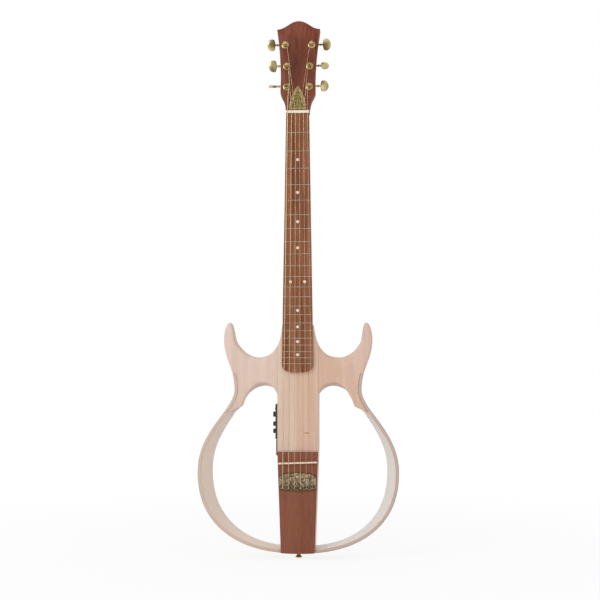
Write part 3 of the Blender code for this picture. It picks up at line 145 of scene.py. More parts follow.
def makeStage():
    world = bpy.data.worlds.new("studio")
    world.use_nodes = True
    bpy.context.scene.world = world
    tree = world.node_tree
    back = tree.nodes["Background"]
    back.inputs["Color"].default_value = (1, 1, 1, 1)
    strength = doMath(tree, "MULTIPLY_ADD", isBackdropRay(tree), 1.0 - lightSet["sky"], lightSet["sky"])
    tree.links.new(strength, back.inputs["Strength"])
    paper = bpy.data.materials.new("paperFloor")
    paper.use_nodes = True
    tree = paper.node_tree
    tree.nodes.clear()
    plain = addNode(tree, "ShaderNodeBsdfDiffuse", {"Color": (*[lightSet["paper"]] * 3, 1)})
    glow = addNode(tree, "ShaderNodeEmission", {"Color": (1, 1, 1, 1), "Strength": 1.0})
    spot = objectCoord(tree)
    away = addNode(tree, "ShaderNodeVectorMath", {0: spot}, operation="LENGTH").outputs["Value"]
    fade = ranged(tree, away, *lightSet["floorFade"], lightSet["floorGlow"], interpolation_type="SMOOTHSTEP")
    share = doMath(tree, "MULTIPLY", isBackdropRay(tree), fade)
    mixed = addNode(tree, "ShaderNodeMixShader", {0: share, 1: plain.outputs[0], 2: glow.outputs[0]})
    addNode(tree, "ShaderNodeOutputMaterial", {"Surface": mixed.outputs[0]})
    low = cadBox[0].z - 0.5 * mm
    mesh = bpy.data.meshes.new("floor")
    mesh.from_pydata([(x, y, low) for x, y in ((-6, -6), (6, -6), (6, 6), (-6, 6))], [], [(0, 1, 2, 3)])
    mesh.materials.append(paper)
    floor = linked("floor", mesh)
    for lamp in lightSet["lamps"]:
        makeLamp(*lamp)
    bpy.context.scene.view_settings.view_transform = "Standard"


makeCamera()
makeStage()
print("camera and studio set")


# materials


def rgb(red, green, blue):
    parts = [c / 255 for c in (red, green, blue)]
    return tuple(c / 12.92 if c < 0.04 else ((c + 0.055) / 1.055) ** 2.4 for c in parts) + (1.0,)


def newMaterial(name, **sockets):
    made = bpy.data.materials.new(name)
    made.use_nodes = True
    shader = made.node_tree.nodes["Principled BSDF"]
    for key, value in sockets.items():
        shader.inputs[key.replace("_", " ")].default_value = value
    return made, made.node_tree, shader


def addRamp(tree, factor, stops):
    stops = [(place, rgb(*colour) if len(colour) == 3 else colour) for place, colour in stops]
    node = addNode(tree, "ShaderNodeValToRGB", {"Fac": factor})
    ramp = node.color_ramp
    first, last = ramp.elements[0], ramp.elements[1]
    first.position, first.color = stops[0]
    last.position, last.color = stops[-1]
    for place, colour in stops[1:-1]:
        ramp.elements.new(place).color = colour
    return node.outputs["Color"]


def mixColour(tree, share, first, second, blend="MIX"):
    node = addNode(tree, "ShaderNodeMix", {0: share, 6: first, 7: second}, data_type="RGBA", blend_type=blend)
    return node.outputs[2]


def multiplied(tree, first, second):
    return mixColour(tree, 1.0, first, second, "MULTIPLY")


def addNoise(tree, vector, scale, detail=2.0, rough=0.5):
    return shaded(tree, "TexNoise", {"Vector": vector, "Scale": scale, "Detail": detail, "Roughness": rough})


def finishShader(tree, shader, colour, rough, height, depth):
    bump = shaded(tree, "Bump", {"Height": height, "Distance": depth, "Strength": 1.0})
    for socket, value in (("Base Color", colour), ("Roughness", rough), ("Normal", bump)):
        if value:
            tree.links.new(value, shader.inputs[socket])


def grey(value):
    return (value, value, value, 1.0)


def awayFrom(tree, vector, spot, ragged):  # distance from a spot (x, z, scale, squash), with an uneven edge
    x, z, scale, squash = spot[:4]
    location, scale = (-x * scale, 0.0, -z * scale * squash), (scale, 0.0, scale * squash)
    place = shaded(tree, "Mapping", {"Vector": vector, "Location": location, "Scale": scale})
    away = addNode(tree, "ShaderNodeVectorMath", {0: place}, operation="LENGTH").outputs["Value"]
    return swayed(tree, ragged, 0.7, away)


def woodMaterial(name, look):
    made, tree, shader = newMaterial(name, Roughness=look["rough"], Specular_IOR_Level=look["gloss"])
    along = look.get("alongPath")
    coord = addNode(tree, "ShaderNodeTexCoord").outputs["UV" if along else "Object"]
    stretch = (look["draw"], 1, 1) if along else (1, 1, look["draw"])
    lined = shaded(tree, "Mapping", {"Vector": coord, "Scale": stretch})
    waver = addNoise(tree, lined, 14, 2, 0.5)
    offset = shaded(tree, "VectorMath", {0: waver, 1: (0.012, 0.012, 0.0)}, operation="MULTIPLY")
    bent = shaded(tree, "VectorMath", {0: lined, 1: offset}, operation="ADD")
    broad = addNoise(tree, bent, look["broad"], 2, 0.45)
    ring = addNoise(tree, bent, look["ring"], 1, 0.4)
    ring = doMath(tree, "PINGPONG", doMath(tree, "MULTIPLY", ring, look["ringCount"]), 1.0)
    fibre = addNoise(tree, bent, look["fibre"], 4, 0.65)
    tone = doMath(tree, "MULTIPLY_ADD", broad, 0.9, -0.45)
    tone = swayed(tree, ring, look["ringShow"], tone)
    tone = swayed(tree, fibre, look["fibreShow"], tone)
    tone = doMath(tree, "ADD", tone, 0.5, clamp=True)
    dark, middle, light = look["tones"]
    colour = addRamp(tree, tone, [(0.0, dark), (0.5, middle), (1.0, light)])
    if "strips" in look:  # boards of other tones glued side by side
        share = ranged(tree, shaded(tree, "SeparateXYZ", {0: bent}), *look["stripSpan"])
        colour = multiplied(tree, colour, addRamp(tree, share, look["strips"]))
    for spot in look.get("knots", ()):  # a small dark eye with a light ring round it
        away = awayFrom(tree, coord, spot, fibre)
        stops = [(0.0, (160, 118, 98)), (0.3, (214, 180, 160)), (0.5, grey(1.06)), (1.0, grey(1.0))]
        colour = multiplied(tree, colour, addRamp(tree, away, stops))
    for spot in look.get("shade", ()):  # a broad patch of another tone
        patch = addRamp(tree, awayFrom(tree, coord, spot, broad), [(0.1, spot[4]), (1.0, grey(1.0))])
        colour = multiplied(tree, colour, patch)
    stretch = tuple(1 if s == 1 else s * 0.6 for s in stretch)
    fine = shaded(tree, "Mapping", {"Vector": coord, "Scale": stretch})
    start = look["poreFrom"]
    pore = addNoise(tree, fine, look["pore"], 2, 0.6)
    pore = addRamp(tree, pore, [(start, grey(0.0)), (start + 0.1, grey(1.0))])
    colour = mixColour(tree, look["poreShow"], colour, multiplied(tree, colour, pore))
    uneven = swayed(tree, fibre, 0.25, look["rough"], clamp=True)
    height = doMath(tree, "MULTIPLY_ADD", fibre, 0.6, doMath(tree, "MULTIPLY", pore, 0.5))
    finishShader(tree, shader, colour, uneven, height, look["relief"])
    return made


def metalMaterial(name, look):
    made, tree, shader = newMaterial(name, Metallic=1.0, Roughness=look["rough"])
    coord = objectCoord(tree)
    cloud = addNoise(tree, coord, look.get("cloud", 90), look.get("detail", 3), 0.6)
    scratch = addNoise(tree, coord, 1400, 2, 0.7)
    dull, bright = look["tones"]
    colour = addRamp(tree, cloud, [(0.3, dull), (0.65, bright)])
    uneven = swayed(tree, scratch, 0.15, swayed(tree, cloud, 0.35, look["rough"]), clamp=True)
    finishShader(tree, shader, colour, uneven, scratch, 0.00002)
    return made


def wireMaterial(name, look):  # wound wire: fine ribs along the string, with painted shade in the grooves between turns
    made, tree, shader = newMaterial(name, Metallic=1.0, Roughness=look["rough"])
    along = addNode(tree, "ShaderNodeAttribute", attribute_name="along").outputs["Fac"]
    wave = doMath(tree, "SINE", doMath(tree, "MULTIPLY", along, 2 * math.pi / look["pitch"]))
    wave = doMath(tree, "MULTIPLY_ADD", wave, 0.5, 0.5)
    cloud = addNoise(tree, objectCoord(tree), 40, 2)
    dull, bright = look["tones"]
    colour = addRamp(tree, cloud, [(0.35, dull), (0.7, bright)])
    # painted shade: the grooves between the wound turns are darker
    shade = addRamp(tree, wave, [(0.0, grey(0.62)), (0.6, grey(1.0))])
    finishShader(tree, shader, multiplied(tree, colour, shade), None, wave, look["pitch"] * 0.3)
    return made


def plasticMaterial(name, look):
    made, tree, shader = newMaterial(name, Roughness=look["rough"])
    coord = objectCoord(tree)
    cloud = addNoise(tree, coord, look.get("cloud", 60), 3, 0.6)
    grain = addNoise(tree, coord, 2600, 2, 0.6)
    low, high = look["tones"]
    colour = addRamp(tree, cloud, [(0.3, low), (0.7, high)])
    uneven = swayed(tree, cloud, 0.2, look["rough"], clamp=True)
    finishShader(tree, shader, colour, uneven, grain, look.get("relief", 0.00004))
    return made


def agedMetal(name, look):  # cast metal, unevenly tarnished
    tint = rgb(236, 216, 176)
    made, tree, shader = newMaterial(name, Metallic=1.0, Roughness=look["rough"], Specular_Tint=tint)
    coord = objectCoord(tree)
    cloud = addNoise(tree, coord, 220, 4, 0.65)
    speck = addNoise(tree, coord, 900, 2, 0.6)
    both = swayed(tree, speck, 0.8, cloud)
    dark, middle, bright = look["tones"]
    colour = addRamp(tree, both, [(0.32, dark), (0.52, middle), (0.72, bright)])
    rough = addRamp(tree, both, [(0.3, grey(0.7)), (0.7, grey(look["rough"]))])
    if "foot" in look:  # painted shade: darker towards the plate's lower edge, for the shadow under the raised plate
        height = addNode(tree, "ShaderNodeSeparateXYZ", {0: coord}).outputs[2]
        stops = [(0.0, grey(0.35)), (0.5, grey(0.75)), (1.0, grey(1.0))]
        colour = multiplied(tree, colour, addRamp(tree, ranged(tree, height, *look["foot"]), stops))
    finishShader(tree, shader, colour, rough, both, 0.00012)
    return made


paleLook = {
    "tones": ((202, 168, 148), (222, 193, 173), (234, 212, 197)),
    "rough": 0.5, "gloss": 0.35, "draw": 0.05, "broad": 22, "ring": 38, "ringCount": 9, "ringShow": 0.22,
    "fibre": 620, "fibreShow": 0.55, "pore": 2600, "poreShow": 0.16, "poreFrom": 0.3, "relief": 0.00004,
}
topWood = woodMaterial("paleTopWood", {
    **paleLook, "stripSpan": (-38 * mm, 38 * mm),
    "strips": [
        (0.00, grey(1.0)), (0.20, grey(1.0)), (0.24, (248, 243, 240)), (0.40, grey(1.0)), (0.56, grey(1.02)),
        (0.575, (246, 236, 228)), (0.70, (252, 244, 238)), (0.714, (228, 208, 194)), (0.735, (250, 240, 232)),
        (0.835, (249, 238, 230)), (0.848, (231, 212, 200)), (0.865, (248, 238, 230)), (1.00, (250, 242, 236)),
    ],
    "knots": ((16.5 * mm, -595.5 * mm, 62, 5.5),),
})
shoulderLook = {**paleLook, "broad": 16, "ringShow": 0.2, "knots": ((86 * mm, -462 * mm, 560, 0.8),)}
shoulderWood = {  # the horns are paler than the rest; the treble shoulder's darker tan is painted shade, for the side away from the key lamp
    "bass": woodMaterial("paleShoulderWood", {
        **shoulderLook, "tones": ((203, 169, 151), (219, 191, 174), (231, 211, 199)),
        "shade": ((-134 * mm, -420 * mm, 13, 0.5, (1.05, 1.09, 1.15, 1)),),
    }),
    "treble": woodMaterial("tanShadedShoulderWood", {
        **shoulderLook, "tones": ((197, 155, 131), (212, 177, 154), (226, 199, 181)),
        "shade": ((130 * mm, -410 * mm, 15, 0.5, (1.08, 1.17, 1.33, 1)),),
    }),
}
blockWood = woodMaterial("paleBlockWood", {**paleLook, "broad": 30, "ringShow": 0.3})
rimLook = {**paleLook, "alongPath": True, "ringShow": 0.2}
insideLook = {**rimLook, "ringShow": 0.1, "fibreShow": 0.08, "poreShow": 0.02, "relief": 0.00001}
rimTones = {  # rest, inside and front edge; the darker front edges are painted shade along the rounded outer corner, the treble rim's darker rest and edge are painted shade for the side away from the key lamp, and its pale grey inside is a painted glare
    "bass": (
        ("bentRimWood", rimLook, ((198, 170, 152), (214, 190, 173), (226, 206, 193))),
        ("warmRimInside", insideLook, ((226, 208, 192), (236, 219, 204), (242, 228, 214))),
        ("bassRimEdgeShade", rimLook, ((170, 136, 116), (192, 160, 140), (208, 180, 162))),
    ),
    "treble": (
        ("tanShadedRimWood", rimLook, ((186, 158, 142), (204, 180, 167), (220, 202, 190))),
        ("paleRimInsideGlare", insideLook, ((222, 215, 210), (232, 226, 221), (238, 233, 229))),
        ("trebleRimEdgeShade", rimLook, ((126, 96, 80), (150, 118, 102), (174, 144, 128))),
    ),
}
rimWoods = {
    word: [woodMaterial(name, {**look, "tones": tones}) for name, look, tones in rows]
    for word, rows in rimTones.items()
}
brownLook = {
    "tones": ((98, 52, 36), (130, 76, 55), (150, 94, 70)),
    "rough": 0.5, "gloss": 0.22, "draw": 0.035, "broad": 26, "ring": 46, "ringCount": 7, "ringShow": 0.16,
    "fibre": 700, "fibreShow": 0.6, "pore": 1500, "poreShow": 0.4, "poreFrom": 0.33, "relief": 0.00006,
}
plateWood = woodMaterial("brownPlateWood", brownLook)
neckWood = woodMaterial("neckWood", {**brownLook, "tones": ((96, 52, 36), (126, 74, 54), (146, 92, 70))})
headWood = woodMaterial("headVeneerWood", {
    **brownLook, "tones": ((78, 32, 20), (120, 60, 41), (148, 86, 60)), "rough": 0.42, "gloss": 0.22,
    "broad": 34, "ring": 70, "ringShow": 0.34, "shade": ((2 * mm, 105 * mm, 24, 0.6, rgb(196, 184, 180)),),
})
boardWood = woodMaterial("fretboardWood", {
    **brownLook, "tones": ((86, 43, 26), (137, 85, 56), (170, 116, 82)), "rough": 0.55, "gloss": 0.16,
    "broad": 75, "ring": 120, "ringCount": 6, "ringShow": 0.34, "fibreShow": 0.7, "poreShow": 0.6,
    "relief": 0.00008, "draw": 0.03,
})
gold, knobGold, fretMetal, nickel, steel, plainWire = [
    metalMaterial(name, {"tones": tones, "rough": rough, **more}) for name, tones, rough, more in (
        # goldPlate and knobGold: broad soft patches between a dull and a bright tone, random in place, partly
        # uneven plating and partly painted reflection
        ("goldPlate", ((120, 100, 58), (190, 168, 112)), 0.2, {"cloud": 110, "detail": 0.5}),
        ("knobGold", ((118, 100, 60), (206, 188, 138)), 0.22, {"cloud": 75, "detail": 0.5}),
        ("fretMetal", ((150, 132, 118), (190, 172, 156)), 0.25, {}),
        ("nickelPlate", ((198, 194, 188), (228, 224, 218)), 0.22, {}),
        ("bareSteel", ((150, 150, 150), (190, 190, 190)), 0.38, {}),
        ("plainWire", ((204, 182, 160), (232, 213, 193)), 0.22, {}),
    )
]
woundLook = {"tones": ((214, 181, 140), (240, 213, 176)), "rough": 0.3, "pitch": 0.25 * mm}
woundWire = wireMaterial("woundBronze", woundLook)
bone, pearl, blackPlastic, greyPlastic, markPaint, lampLens, boardGreen, batteryCase = [
    plasticMaterial(name, {"tones": tones, "rough": rough, **more}) for name, tones, rough, more in (
        ("boneNut", ((234, 210, 184), (247, 230, 208)), 0.4, {"cloud": 120}),
        ("pearlDot", ((236, 216, 204), (248, 234, 226)), 0.25, {"cloud": 500}),
        ("blackPlastic", ((40, 36, 36), (58, 52, 52)), 0.42, {"relief": 0.0001}),
        ("greyPlastic", ((110, 108, 108), (132, 130, 130)), 0.4, {}),
        ("markPaint", ((208, 204, 200), (226, 222, 218)), 0.5, {}),
        ("lampLens", ((120, 20, 18), (150, 30, 26)), 0.15, {}),
        ("circuitGreen", ((20, 84, 48), (34, 104, 62)), 0.35, {}),
        ("batteryCase", ((122, 122, 126), (150, 150, 154)), 0.32, {}),
    )
]
# painted shade along the tailpiece's lower edge, where it stands proud of the plate
paintedFootShade = {"foot": (-703 * mm, -683 * mm)}
relief, coverRelief, coverBase, patina = [
    agedMetal(name, {"tones": tones, "rough": rough, **more}) for name, tones, rough, more in (
        ("reliefMetal", ((134, 116, 88), (206, 184, 150), (250, 236, 208)), 0.66, paintedFootShade),
        ("coverRelief", ((160, 142, 94), (190, 172, 122), (214, 198, 152)), 0.5, {}),
        ("coverBase", ((94, 80, 46), (124, 108, 68), (152, 134, 90)), 0.5, {}),
        ("darkPatina", ((50, 38, 26), (78, 62, 44), (108, 90, 64)), 0.55, paintedFootShade),
    )
]
print("materials made")


# mesh helpers


def plainMesh(shape):
    mesh = bpy.data.meshes.new("part")
    shape.to_mesh(mesh)
    shape.free()
    return mesh


def shapeMesh(shape, weld=True):
    if weld:
        bmesh.ops.remove_doubles(shape, verts=shape.verts, dist=weldReach)
    bmesh.ops.recalc_face_normals(shape, faces=shape.faces)
    return plainMesh(shape)


def joined(*meshes):
    shape = bmesh.new()
    for mesh in meshes:
        shape.from_mesh(mesh)
    return plainMesh(shape)


def painted(mesh, finish):
    mesh.materials.clear()
    mesh.materials.append(finish)
    return mesh


def joinedFinishes(*meshes):  # joins meshes that have a material each, and keeps their attributes
    finishes, shape = [], bmesh.new()
    for mesh in meshes:
        finish = mesh.materials[0]
        if finish not in finishes:
            finishes.append(finish)
        before = len(shape.faces)
        shape.from_mesh(mesh)
        shape.faces.ensure_lookup_table()
        for face in shape.faces[before:]:
            face.material_index = finishes.index(finish)
    made = plainMesh(shape)
    for finish in finishes:
        made.materials.append(finish)
    return made


def placed(spot, angle=0.0, axis="Z"):
    return Matrix.Translation(spot) @ Matrix.Rotation(angle, 4, axis)


def moved(mesh, matrix):
    mesh.transform(matrix)
    return mesh


def evaluated(holder, *tools):  # the plain mesh that an object's modifiers make, which then go
    bpy.context.view_layer.update()
    result = bpy.data.meshes.new_from_object(holder.evaluated_get(bpy.context.evaluated_depsgraph_get()))
    for spare in (*tools, holder):
        bpy.data.objects.remove(spare, do_unlink=True)
    return result


def changed(mesh, *changes):
    holder, tools = linked("holder", mesh), []
    for kind, settings in changes:
        change = holder.modifiers.new(kind, kind)
        for key, value in settings.items():
            if isinstance(value, bpy.types.Mesh):
                value = linked("tool", value)
                tools.append(value)
            setattr(change, key, value)
    return evaluated(holder, *tools)


def softened(mesh, width, segments=3, angle=40):
    given = {"width": width, "segments": segments, "limit_method": "ANGLE", "angle_limit": math.radians(angle)}
    return changed(mesh, ("BEVEL", given))


def without(mesh, *tools, kind="DIFFERENCE"):
    return changed(mesh, *[("BOOLEAN", {"object": t, "operation": kind, "solver": "EXACT"}) for t in tools])


def united(mesh, *tools):
    return without(mesh, *tools, kind="UNION")


def addPiece(name, mesh, finish, body="guitar", alone=False):
    stands = () if alone else (name,)  # the solid that it replaces
    mesh.name = name
    if not [m for m in mesh.materials if m]:
        painted(mesh, finish)
    mesh.shade_smooth()
    mesh.set_sharp_from_angle(angle=math.radians(36))
    piece = linked(name, mesh)
    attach(piece, body)
    if stands:
        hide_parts(*stands)


def boxMesh(low, high):
    shape = bmesh.new()
    size, middle = Vector(high) - Vector(low), (Vector(high) + Vector(low)) / 2
    bmesh.ops.create_cube(shape, size=1.0, matrix=Matrix.Translation(middle) @ Matrix.Diagonal((*size, 1)))
    return shapeMesh(shape)


def wideBox(half, front, back, low, high):  # as far to the left as to the right
    return boxMesh((-half, front, low), (half, back, high))


def boxNear(middle, low, high):
    return boxMesh(middle + Vector(low), middle + Vector(high))


def rodMesh(start, end, radius, sides=24):
    start, end = Vector(start), Vector(end)
    shape = bmesh.new()
    turn = (end - start).to_track_quat("Z", "Y").to_matrix().to_4x4()
    place = Matrix.Translation((start + end) / 2) @ turn
    given = {"segments": sides, "radius1": radius, "radius2": radius, "depth": (end - start).length}
    bmesh.ops.create_cone(shape, cap_ends=True, matrix=place, **given)
    return shapeMesh(shape)


def bandFaces(shape, first, second):  # a closed band between two rings of vertices
    around = zip(first, first[1:] + first[:1], second[1:] + second[:1], second)
    return [shape.faces.new(corners) for corners in around]


def ringsMesh(rings):  # a closed skin over rings of points
    shape = bmesh.new()
    rows = [[shape.verts.new(point) for point in ring] for ring in rings]
    for row, following in zip(rows, rows[1:]):
        bandFaces(shape, row, following)
    shape.faces.new(rows[0])
    shape.faces.new(rows[-1])
    return shapeMesh(shape)


def plateMesh(outline, front, back):  # (x, z) outline drawn out between two depths
    return ringsMesh([[(x, y, z) for x, z in outline] for y in (front, back)])


def latheMesh(profile, steps, matrix=Matrix.Identity(4), closed=False):  # (radius, height) turned about Z
    shape = bmesh.new()
    rows = []
    for radius, height in profile:
        count = 1 if radius < 1e-7 else steps
        turns = [2 * math.pi * i / steps for i in range(count)]
        rows.append([shape.verts.new((radius * math.cos(t), radius * math.sin(t), height)) for t in turns])
    pairs = list(zip(rows, rows[1:])) + ([(rows[-1], rows[0])] if closed else [])
    for first, second in pairs:
        for i in range(steps):
            j = (i + 1) % steps
            spots = ((first, i), (first, j), (second, j), (second, i))
            corners = list(dict.fromkeys(row[k % len(row)] for row, k in spots))
            if len(corners) > 2:
                shape.faces.new(corners)
    shape.transform(matrix)
    return shapeMesh(shape)


def eased(points, reach, steps=4, closed=False):  # rounds the corners of a path or profile
    out = []
    count = len(points)
    for i, point in enumerate(points):
        here = Vector(point)
        if not closed and i in (0, count - 1):
            out.append(tuple(here))
            continue
        before, after = Vector(points[i - 1]), Vector(points[(i + 1) % count])
        back, forth = before - here, after - here
        if back.length < 1e-9 or forth.length < 1e-9 or back.angle(forth) > math.radians(172):
            out.append(tuple(here))
            continue
        start = here + back.normalized() * min(reach, back.length * 0.45)
        end = here + forth.normalized() * min(reach, forth.length * 0.45)
        for k in range(steps + 1):
            t = k / steps
            out.append(tuple(start * (1 - t) ** 2 + here * 2 * t * (1 - t) + end * t * t))
    return out


def between(first, last, share):
    return first + (last - first) * share


def shareOf(value, low, high):  # how far a value has come from one limit to the other
    return min(max((value - low) / (high - low), 0.0), 1.0)


def smoothStep(value):
    value = min(max(value, 0.0), 1.0)
    return value * value * (3 - 2 * value)


def mirroredOutline(right):
    return list(right) + [(-x, z) for x, z in reversed(right) if abs(x) > 1e-6]


# Geometry Nodes: one tree sets a template on points, one draws a wire along a path


def newTree(name, inputs):
    tree = bpy.data.node_groups.new(name, "GeometryNodeTree")
    tree.interface.new_socket("Geometry", in_out="INPUT", socket_type="NodeSocketGeometry")
    for label, kind in inputs:
        tree.interface.new_socket(label, in_out="INPUT", socket_type="NodeSocket" + kind)
    tree.interface.new_socket("Geometry", in_out="OUTPUT", socket_type="NodeSocketGeometry")
    return tree, addNode(tree, "NodeGroupInput")


def closeTree(tree, geometry, material):
    real = addNode(tree, "GeometryNodeRealizeInstances", {0: geometry})
    coated = addNode(tree, "GeometryNodeSetMaterial", {"Geometry": real.outputs[0], "Material": material})
    addNode(tree, "NodeGroupOutput", {0: coated.outputs[0]})


def makeRepeatTree():
    tree, given = newTree("repeatOnPoints", [("Template", "Object"), ("Finish", "Material"), ("Size", "Float")])
    template = addNode(tree, "GeometryNodeObjectInfo", {"Object": given.outputs["Template"]})
    turn = addNode(tree, "GeometryNodeInputNamedAttribute", {"Name": "turn"}, data_type="FLOAT_VECTOR")
    turn = addNode(tree, "FunctionNodeEulerToRotation", {0: turn.outputs[0]})
    stretch = addNode(tree, "GeometryNodeInputNamedAttribute", {"Name": "stretch"}, data_type="FLOAT_VECTOR")
    sized = addNode(tree, "ShaderNodeVectorMath", {0: stretch.outputs[0]}, operation="SCALE")
    tree.links.new(given.outputs["Size"], sized.inputs["Scale"])
    copies = addNode(tree, "GeometryNodeInstanceOnPoints", {
        "Points": given.outputs["Geometry"], "Instance": template.outputs["Geometry"],
        "Rotation": turn.outputs[0], "Scale": sized.outputs[0],
    })
    closeTree(tree, copies.outputs[0], given.outputs["Finish"])
    return tree


def makeWireTree():
    tree, given = newTree("wireAlongPath", [("Radius", "Float"), ("Sides", "Int"), ("Finish", "Material")])
    path = addNode(tree, "GeometryNodeMeshToCurve", {"Mesh": given.outputs["Geometry"]})
    length = addNode(tree, "GeometryNodeSplineParameter").outputs["Length"]
    marked = addNode(tree, "GeometryNodeStoreNamedAttribute", {
        "Geometry": path.outputs[0], "Name": "along", "Value": length,
    }, data_type="FLOAT", domain="POINT")
    circle = addNode(tree, "GeometryNodeCurvePrimitiveCircle", {
        "Resolution": given.outputs["Sides"], "Radius": given.outputs["Radius"],
    })
    wire = addNode(tree, "GeometryNodeCurveToMesh", {
        "Curve": marked.outputs[0], "Profile Curve": circle.outputs[0], "Fill Caps": True,
    })
    closeTree(tree, wire.outputs[0], given.outputs["Finish"])
    return tree


repeatTree = makeRepeatTree()
wireTree = makeWireTree()


def runTree(tree, mesh, **given):
    holder = linked("holder", mesh)
    change = holder.modifiers.new("nodes", "NODES")
    change.node_group = tree
    for item in tree.interface.items_tree:
        if item.item_type == "SOCKET" and item.in_out == "INPUT" and item.name in given:
            change[item.identifier] = given[item.name]
    holder.update_tag()
    return evaluated(holder)


def repeated(template, places, finish, size=1.0):
    holder = linked("template", template)
    points = bpy.data.meshes.new("places")
    points.from_pydata([place for place, _, _ in places], [], [])
    for name, column in (("turn", 1), ("stretch", 2)):
        layer = points.attributes.new(name, "FLOAT_VECTOR", "POINT")
        for i, row in enumerate(places):
            layer.data[i].vector = row[column]
    result = runTree(repeatTree, points, Template=holder, Finish=finish, Size=size)
    bpy.data.objects.remove(holder, do_unlink=True)
    result.polygons.foreach_set("material_index", [0] * len(result.polygons))
    return painted(result, finish)


def wireMesh(points, radius, finish, sides=12):
    path = bpy.data.meshes.new("path")
    path.from_pydata([tuple(p) for p in points], [(i, i + 1) for i in range(len(points) - 1)], [])
    made = runTree(wireTree, path, Radius=radius, Sides=sides, Finish=finish)
    shape = bmesh.new()
    shape.from_mesh(made)
    return painted(shapeMesh(shape), finish)


def facing(normal):  # Euler turn that points a template's Z along a direction
    return tuple(Vector(normal).to_track_quat("Z", "Y").to_euler())


def screwTemplate():  # a raised cross-slot head of unit radius, with its rim at height zero
    dome = [(0, 0.34), (0.3, 0.33), (0.6, 0.27), (0.85, 0.15), (0.97, 0.04), (1.0, -0.03)]
    head = latheMesh(dome + [(1.0, -0.3), (0, -0.3)], 20)
    return without(head, *[boxMesh((-x, -y, 0.05), (x, y, 0.5)) for x, y in ((0.55, 0.09), (0.09, 0.55))])


def setScrews(name, places, radius, finish):
    rows = [(place, facing(normal), (1, 1, 1)) for place, normal in places]
    addPiece(name, repeated(screwTemplate(), rows, finish, radius), finish, alone=True)


# body: outlines shared by its pieces

bodySet = {
    **inMm(
        blockHalf=37.8, blockHalfTail=31.2, face=6, topThickness=4, back=64, plateFace=2, plateTop=630.5,
        halfWidth=187.4, widest=667, tail=818.3, rimThickness=6, rimDepth=55, rimFront=7, rimStart=487,
        shoulderEnd=554, leanStart=455, leanFull=560, neckLength=395, bridge=649, shoulderDepth=54,
        hornThickness=26, hornTop=390.5, edgeRound=4.2, rimRound=1.1, archFlare=7.5, tongue=(25, 22, 83),
        slopeDepth=30.6, slopeRun=55, saddle=(72, 2.8), saddleFoot=5.6, slotFoot=7.6, saddleSlant=2.6,
    ),
    "tailPower": 2.3, "lean": 0.108, "spanSteps": 22, "archSteps": 18,
}
coreFront = bodySet["face"] + bodySet["topThickness"] + gap


def bezierPath(knots, steps):  # knots are (x, down, heading, handle in, handle out)
    def heading(angle):
        return Vector((math.cos(math.radians(angle)), math.sin(math.radians(angle))))
    points = []
    for (ax, ad, ah, _, aOut), (bx, bd, bh, bIn, _) in zip(knots, knots[1:]):
        start, end = Vector((ax, -ad)), Vector((bx, -bd))
        first, last = start + heading(ah) * aOut, end - heading(bh) * bIn
        span = geometry.interpolate_bezier(start, first, last, end, steps)
        points += [(p.x, p.y) for p in (span if not points else span[1:])]
    return points


cutawayPath = bezierPath([
    (0.0289, 0.3953, 277, 0, 0.014), (0.0752, 0.4556, 0, 0.043, 0.023),
    (0.1176, 0.4240, 72, 0.012, 0.006), (0.1272, 0.3905, 0, 0.007, 0),
], bodySet["spanSteps"])
flankPath = bezierPath([
    (0.1272, 0.3905, 0, 0, 0.007), (0.1385, 0.4211, 270, 0.0119, 0.0389),
    (0.1182, 0.5156, 270, 0.040, 0.0362), (0.1874, 0.6670, 270, 0.0746, 0),
], bodySet["spanSteps"])


def archPath(seam, carve):
    return bezierPath([
        (seam, 0.5240, 30, 0, 0.003), (0.0670, 0.5093, 0, 0.0195, 0.0075),
        (0.1054 + carve, 0.5462, 289, 0.033, 0),
    ], bodySet["archSteps"])


def tailHeight(across):
    share = min(abs(across) / bodySet["halfWidth"], 1.0)
    power = bodySet["tailPower"]
    return -bodySet["widest"] - (bodySet["tail"] - bodySet["widest"]) * (1 - share**power) ** (1 / power)


def tailPath(stop):
    power, steps = bodySet["tailPower"], 44
    last = math.acos(min((stop / bodySet["halfWidth"]) ** (power / 2), 1.0))
    turns = [last * i / steps for i in range(1, steps + 1)]
    rows = [bodySet["halfWidth"] * math.cos(t) ** (2 / power) for t in turns]
    return [(x, tailHeight(x)) for x in rows]


def inwards(path, distance):  # a path set in by a distance
    out = []
    for i, (x, z) in enumerate(path):
        ax, az = path[max(i - 1, 0)]
        bx, bz = path[min(i + 1, len(path) - 1)]
        along = Vector((bx - ax, bz - az)).normalized()
        out.append((x + along.y * distance, z - along.x * distance))
    return out


def clipped(path, high, low):  # what a path has between two heights on its way down
    kept = []
    for (ax, az), (bx, bz) in zip(path, path[1:]):
        for level in (high, low):
            if bz < level <= az and az > bz:
                kept.append((ax + (bx - ax) * (az - level) / (az - bz), level))
        if low < bz < high:
            kept.append((bx, bz))
    return kept


def crossHeight(path, across):  # where a path first crosses an upright line
    for (ax, az), (bx, bz) in zip(path, path[1:]):
        if (ax - across) * (bx - across) <= 0 and ax != bx:
            return az + (bz - az) * (across - ax) / (bx - ax)
    return path[0][1]


def leaned(x, y, z):  # the lower bout leans in towards the back
    out = max(abs(x) - bodySet["blockHalf"], 0.0)
    ramp = smoothStep(shareOf(-z, bodySet["leanStart"], bodySet["leanFull"]))
    depth = (y - bodySet["rimFront"]) / bodySet["rimDepth"]
    return Vector((x - math.copysign(out * bodySet["lean"] * ramp * depth, x), y, z))


def blockHalf(down):  # the block narrows towards the tail
    share = shareOf(down, bodySet["plateTop"], bodySet["tail"])
    return between(bodySet["blockHalf"], bodySet["blockHalfTail"], share)


# shoulders: carved boards, rounded on their free edges

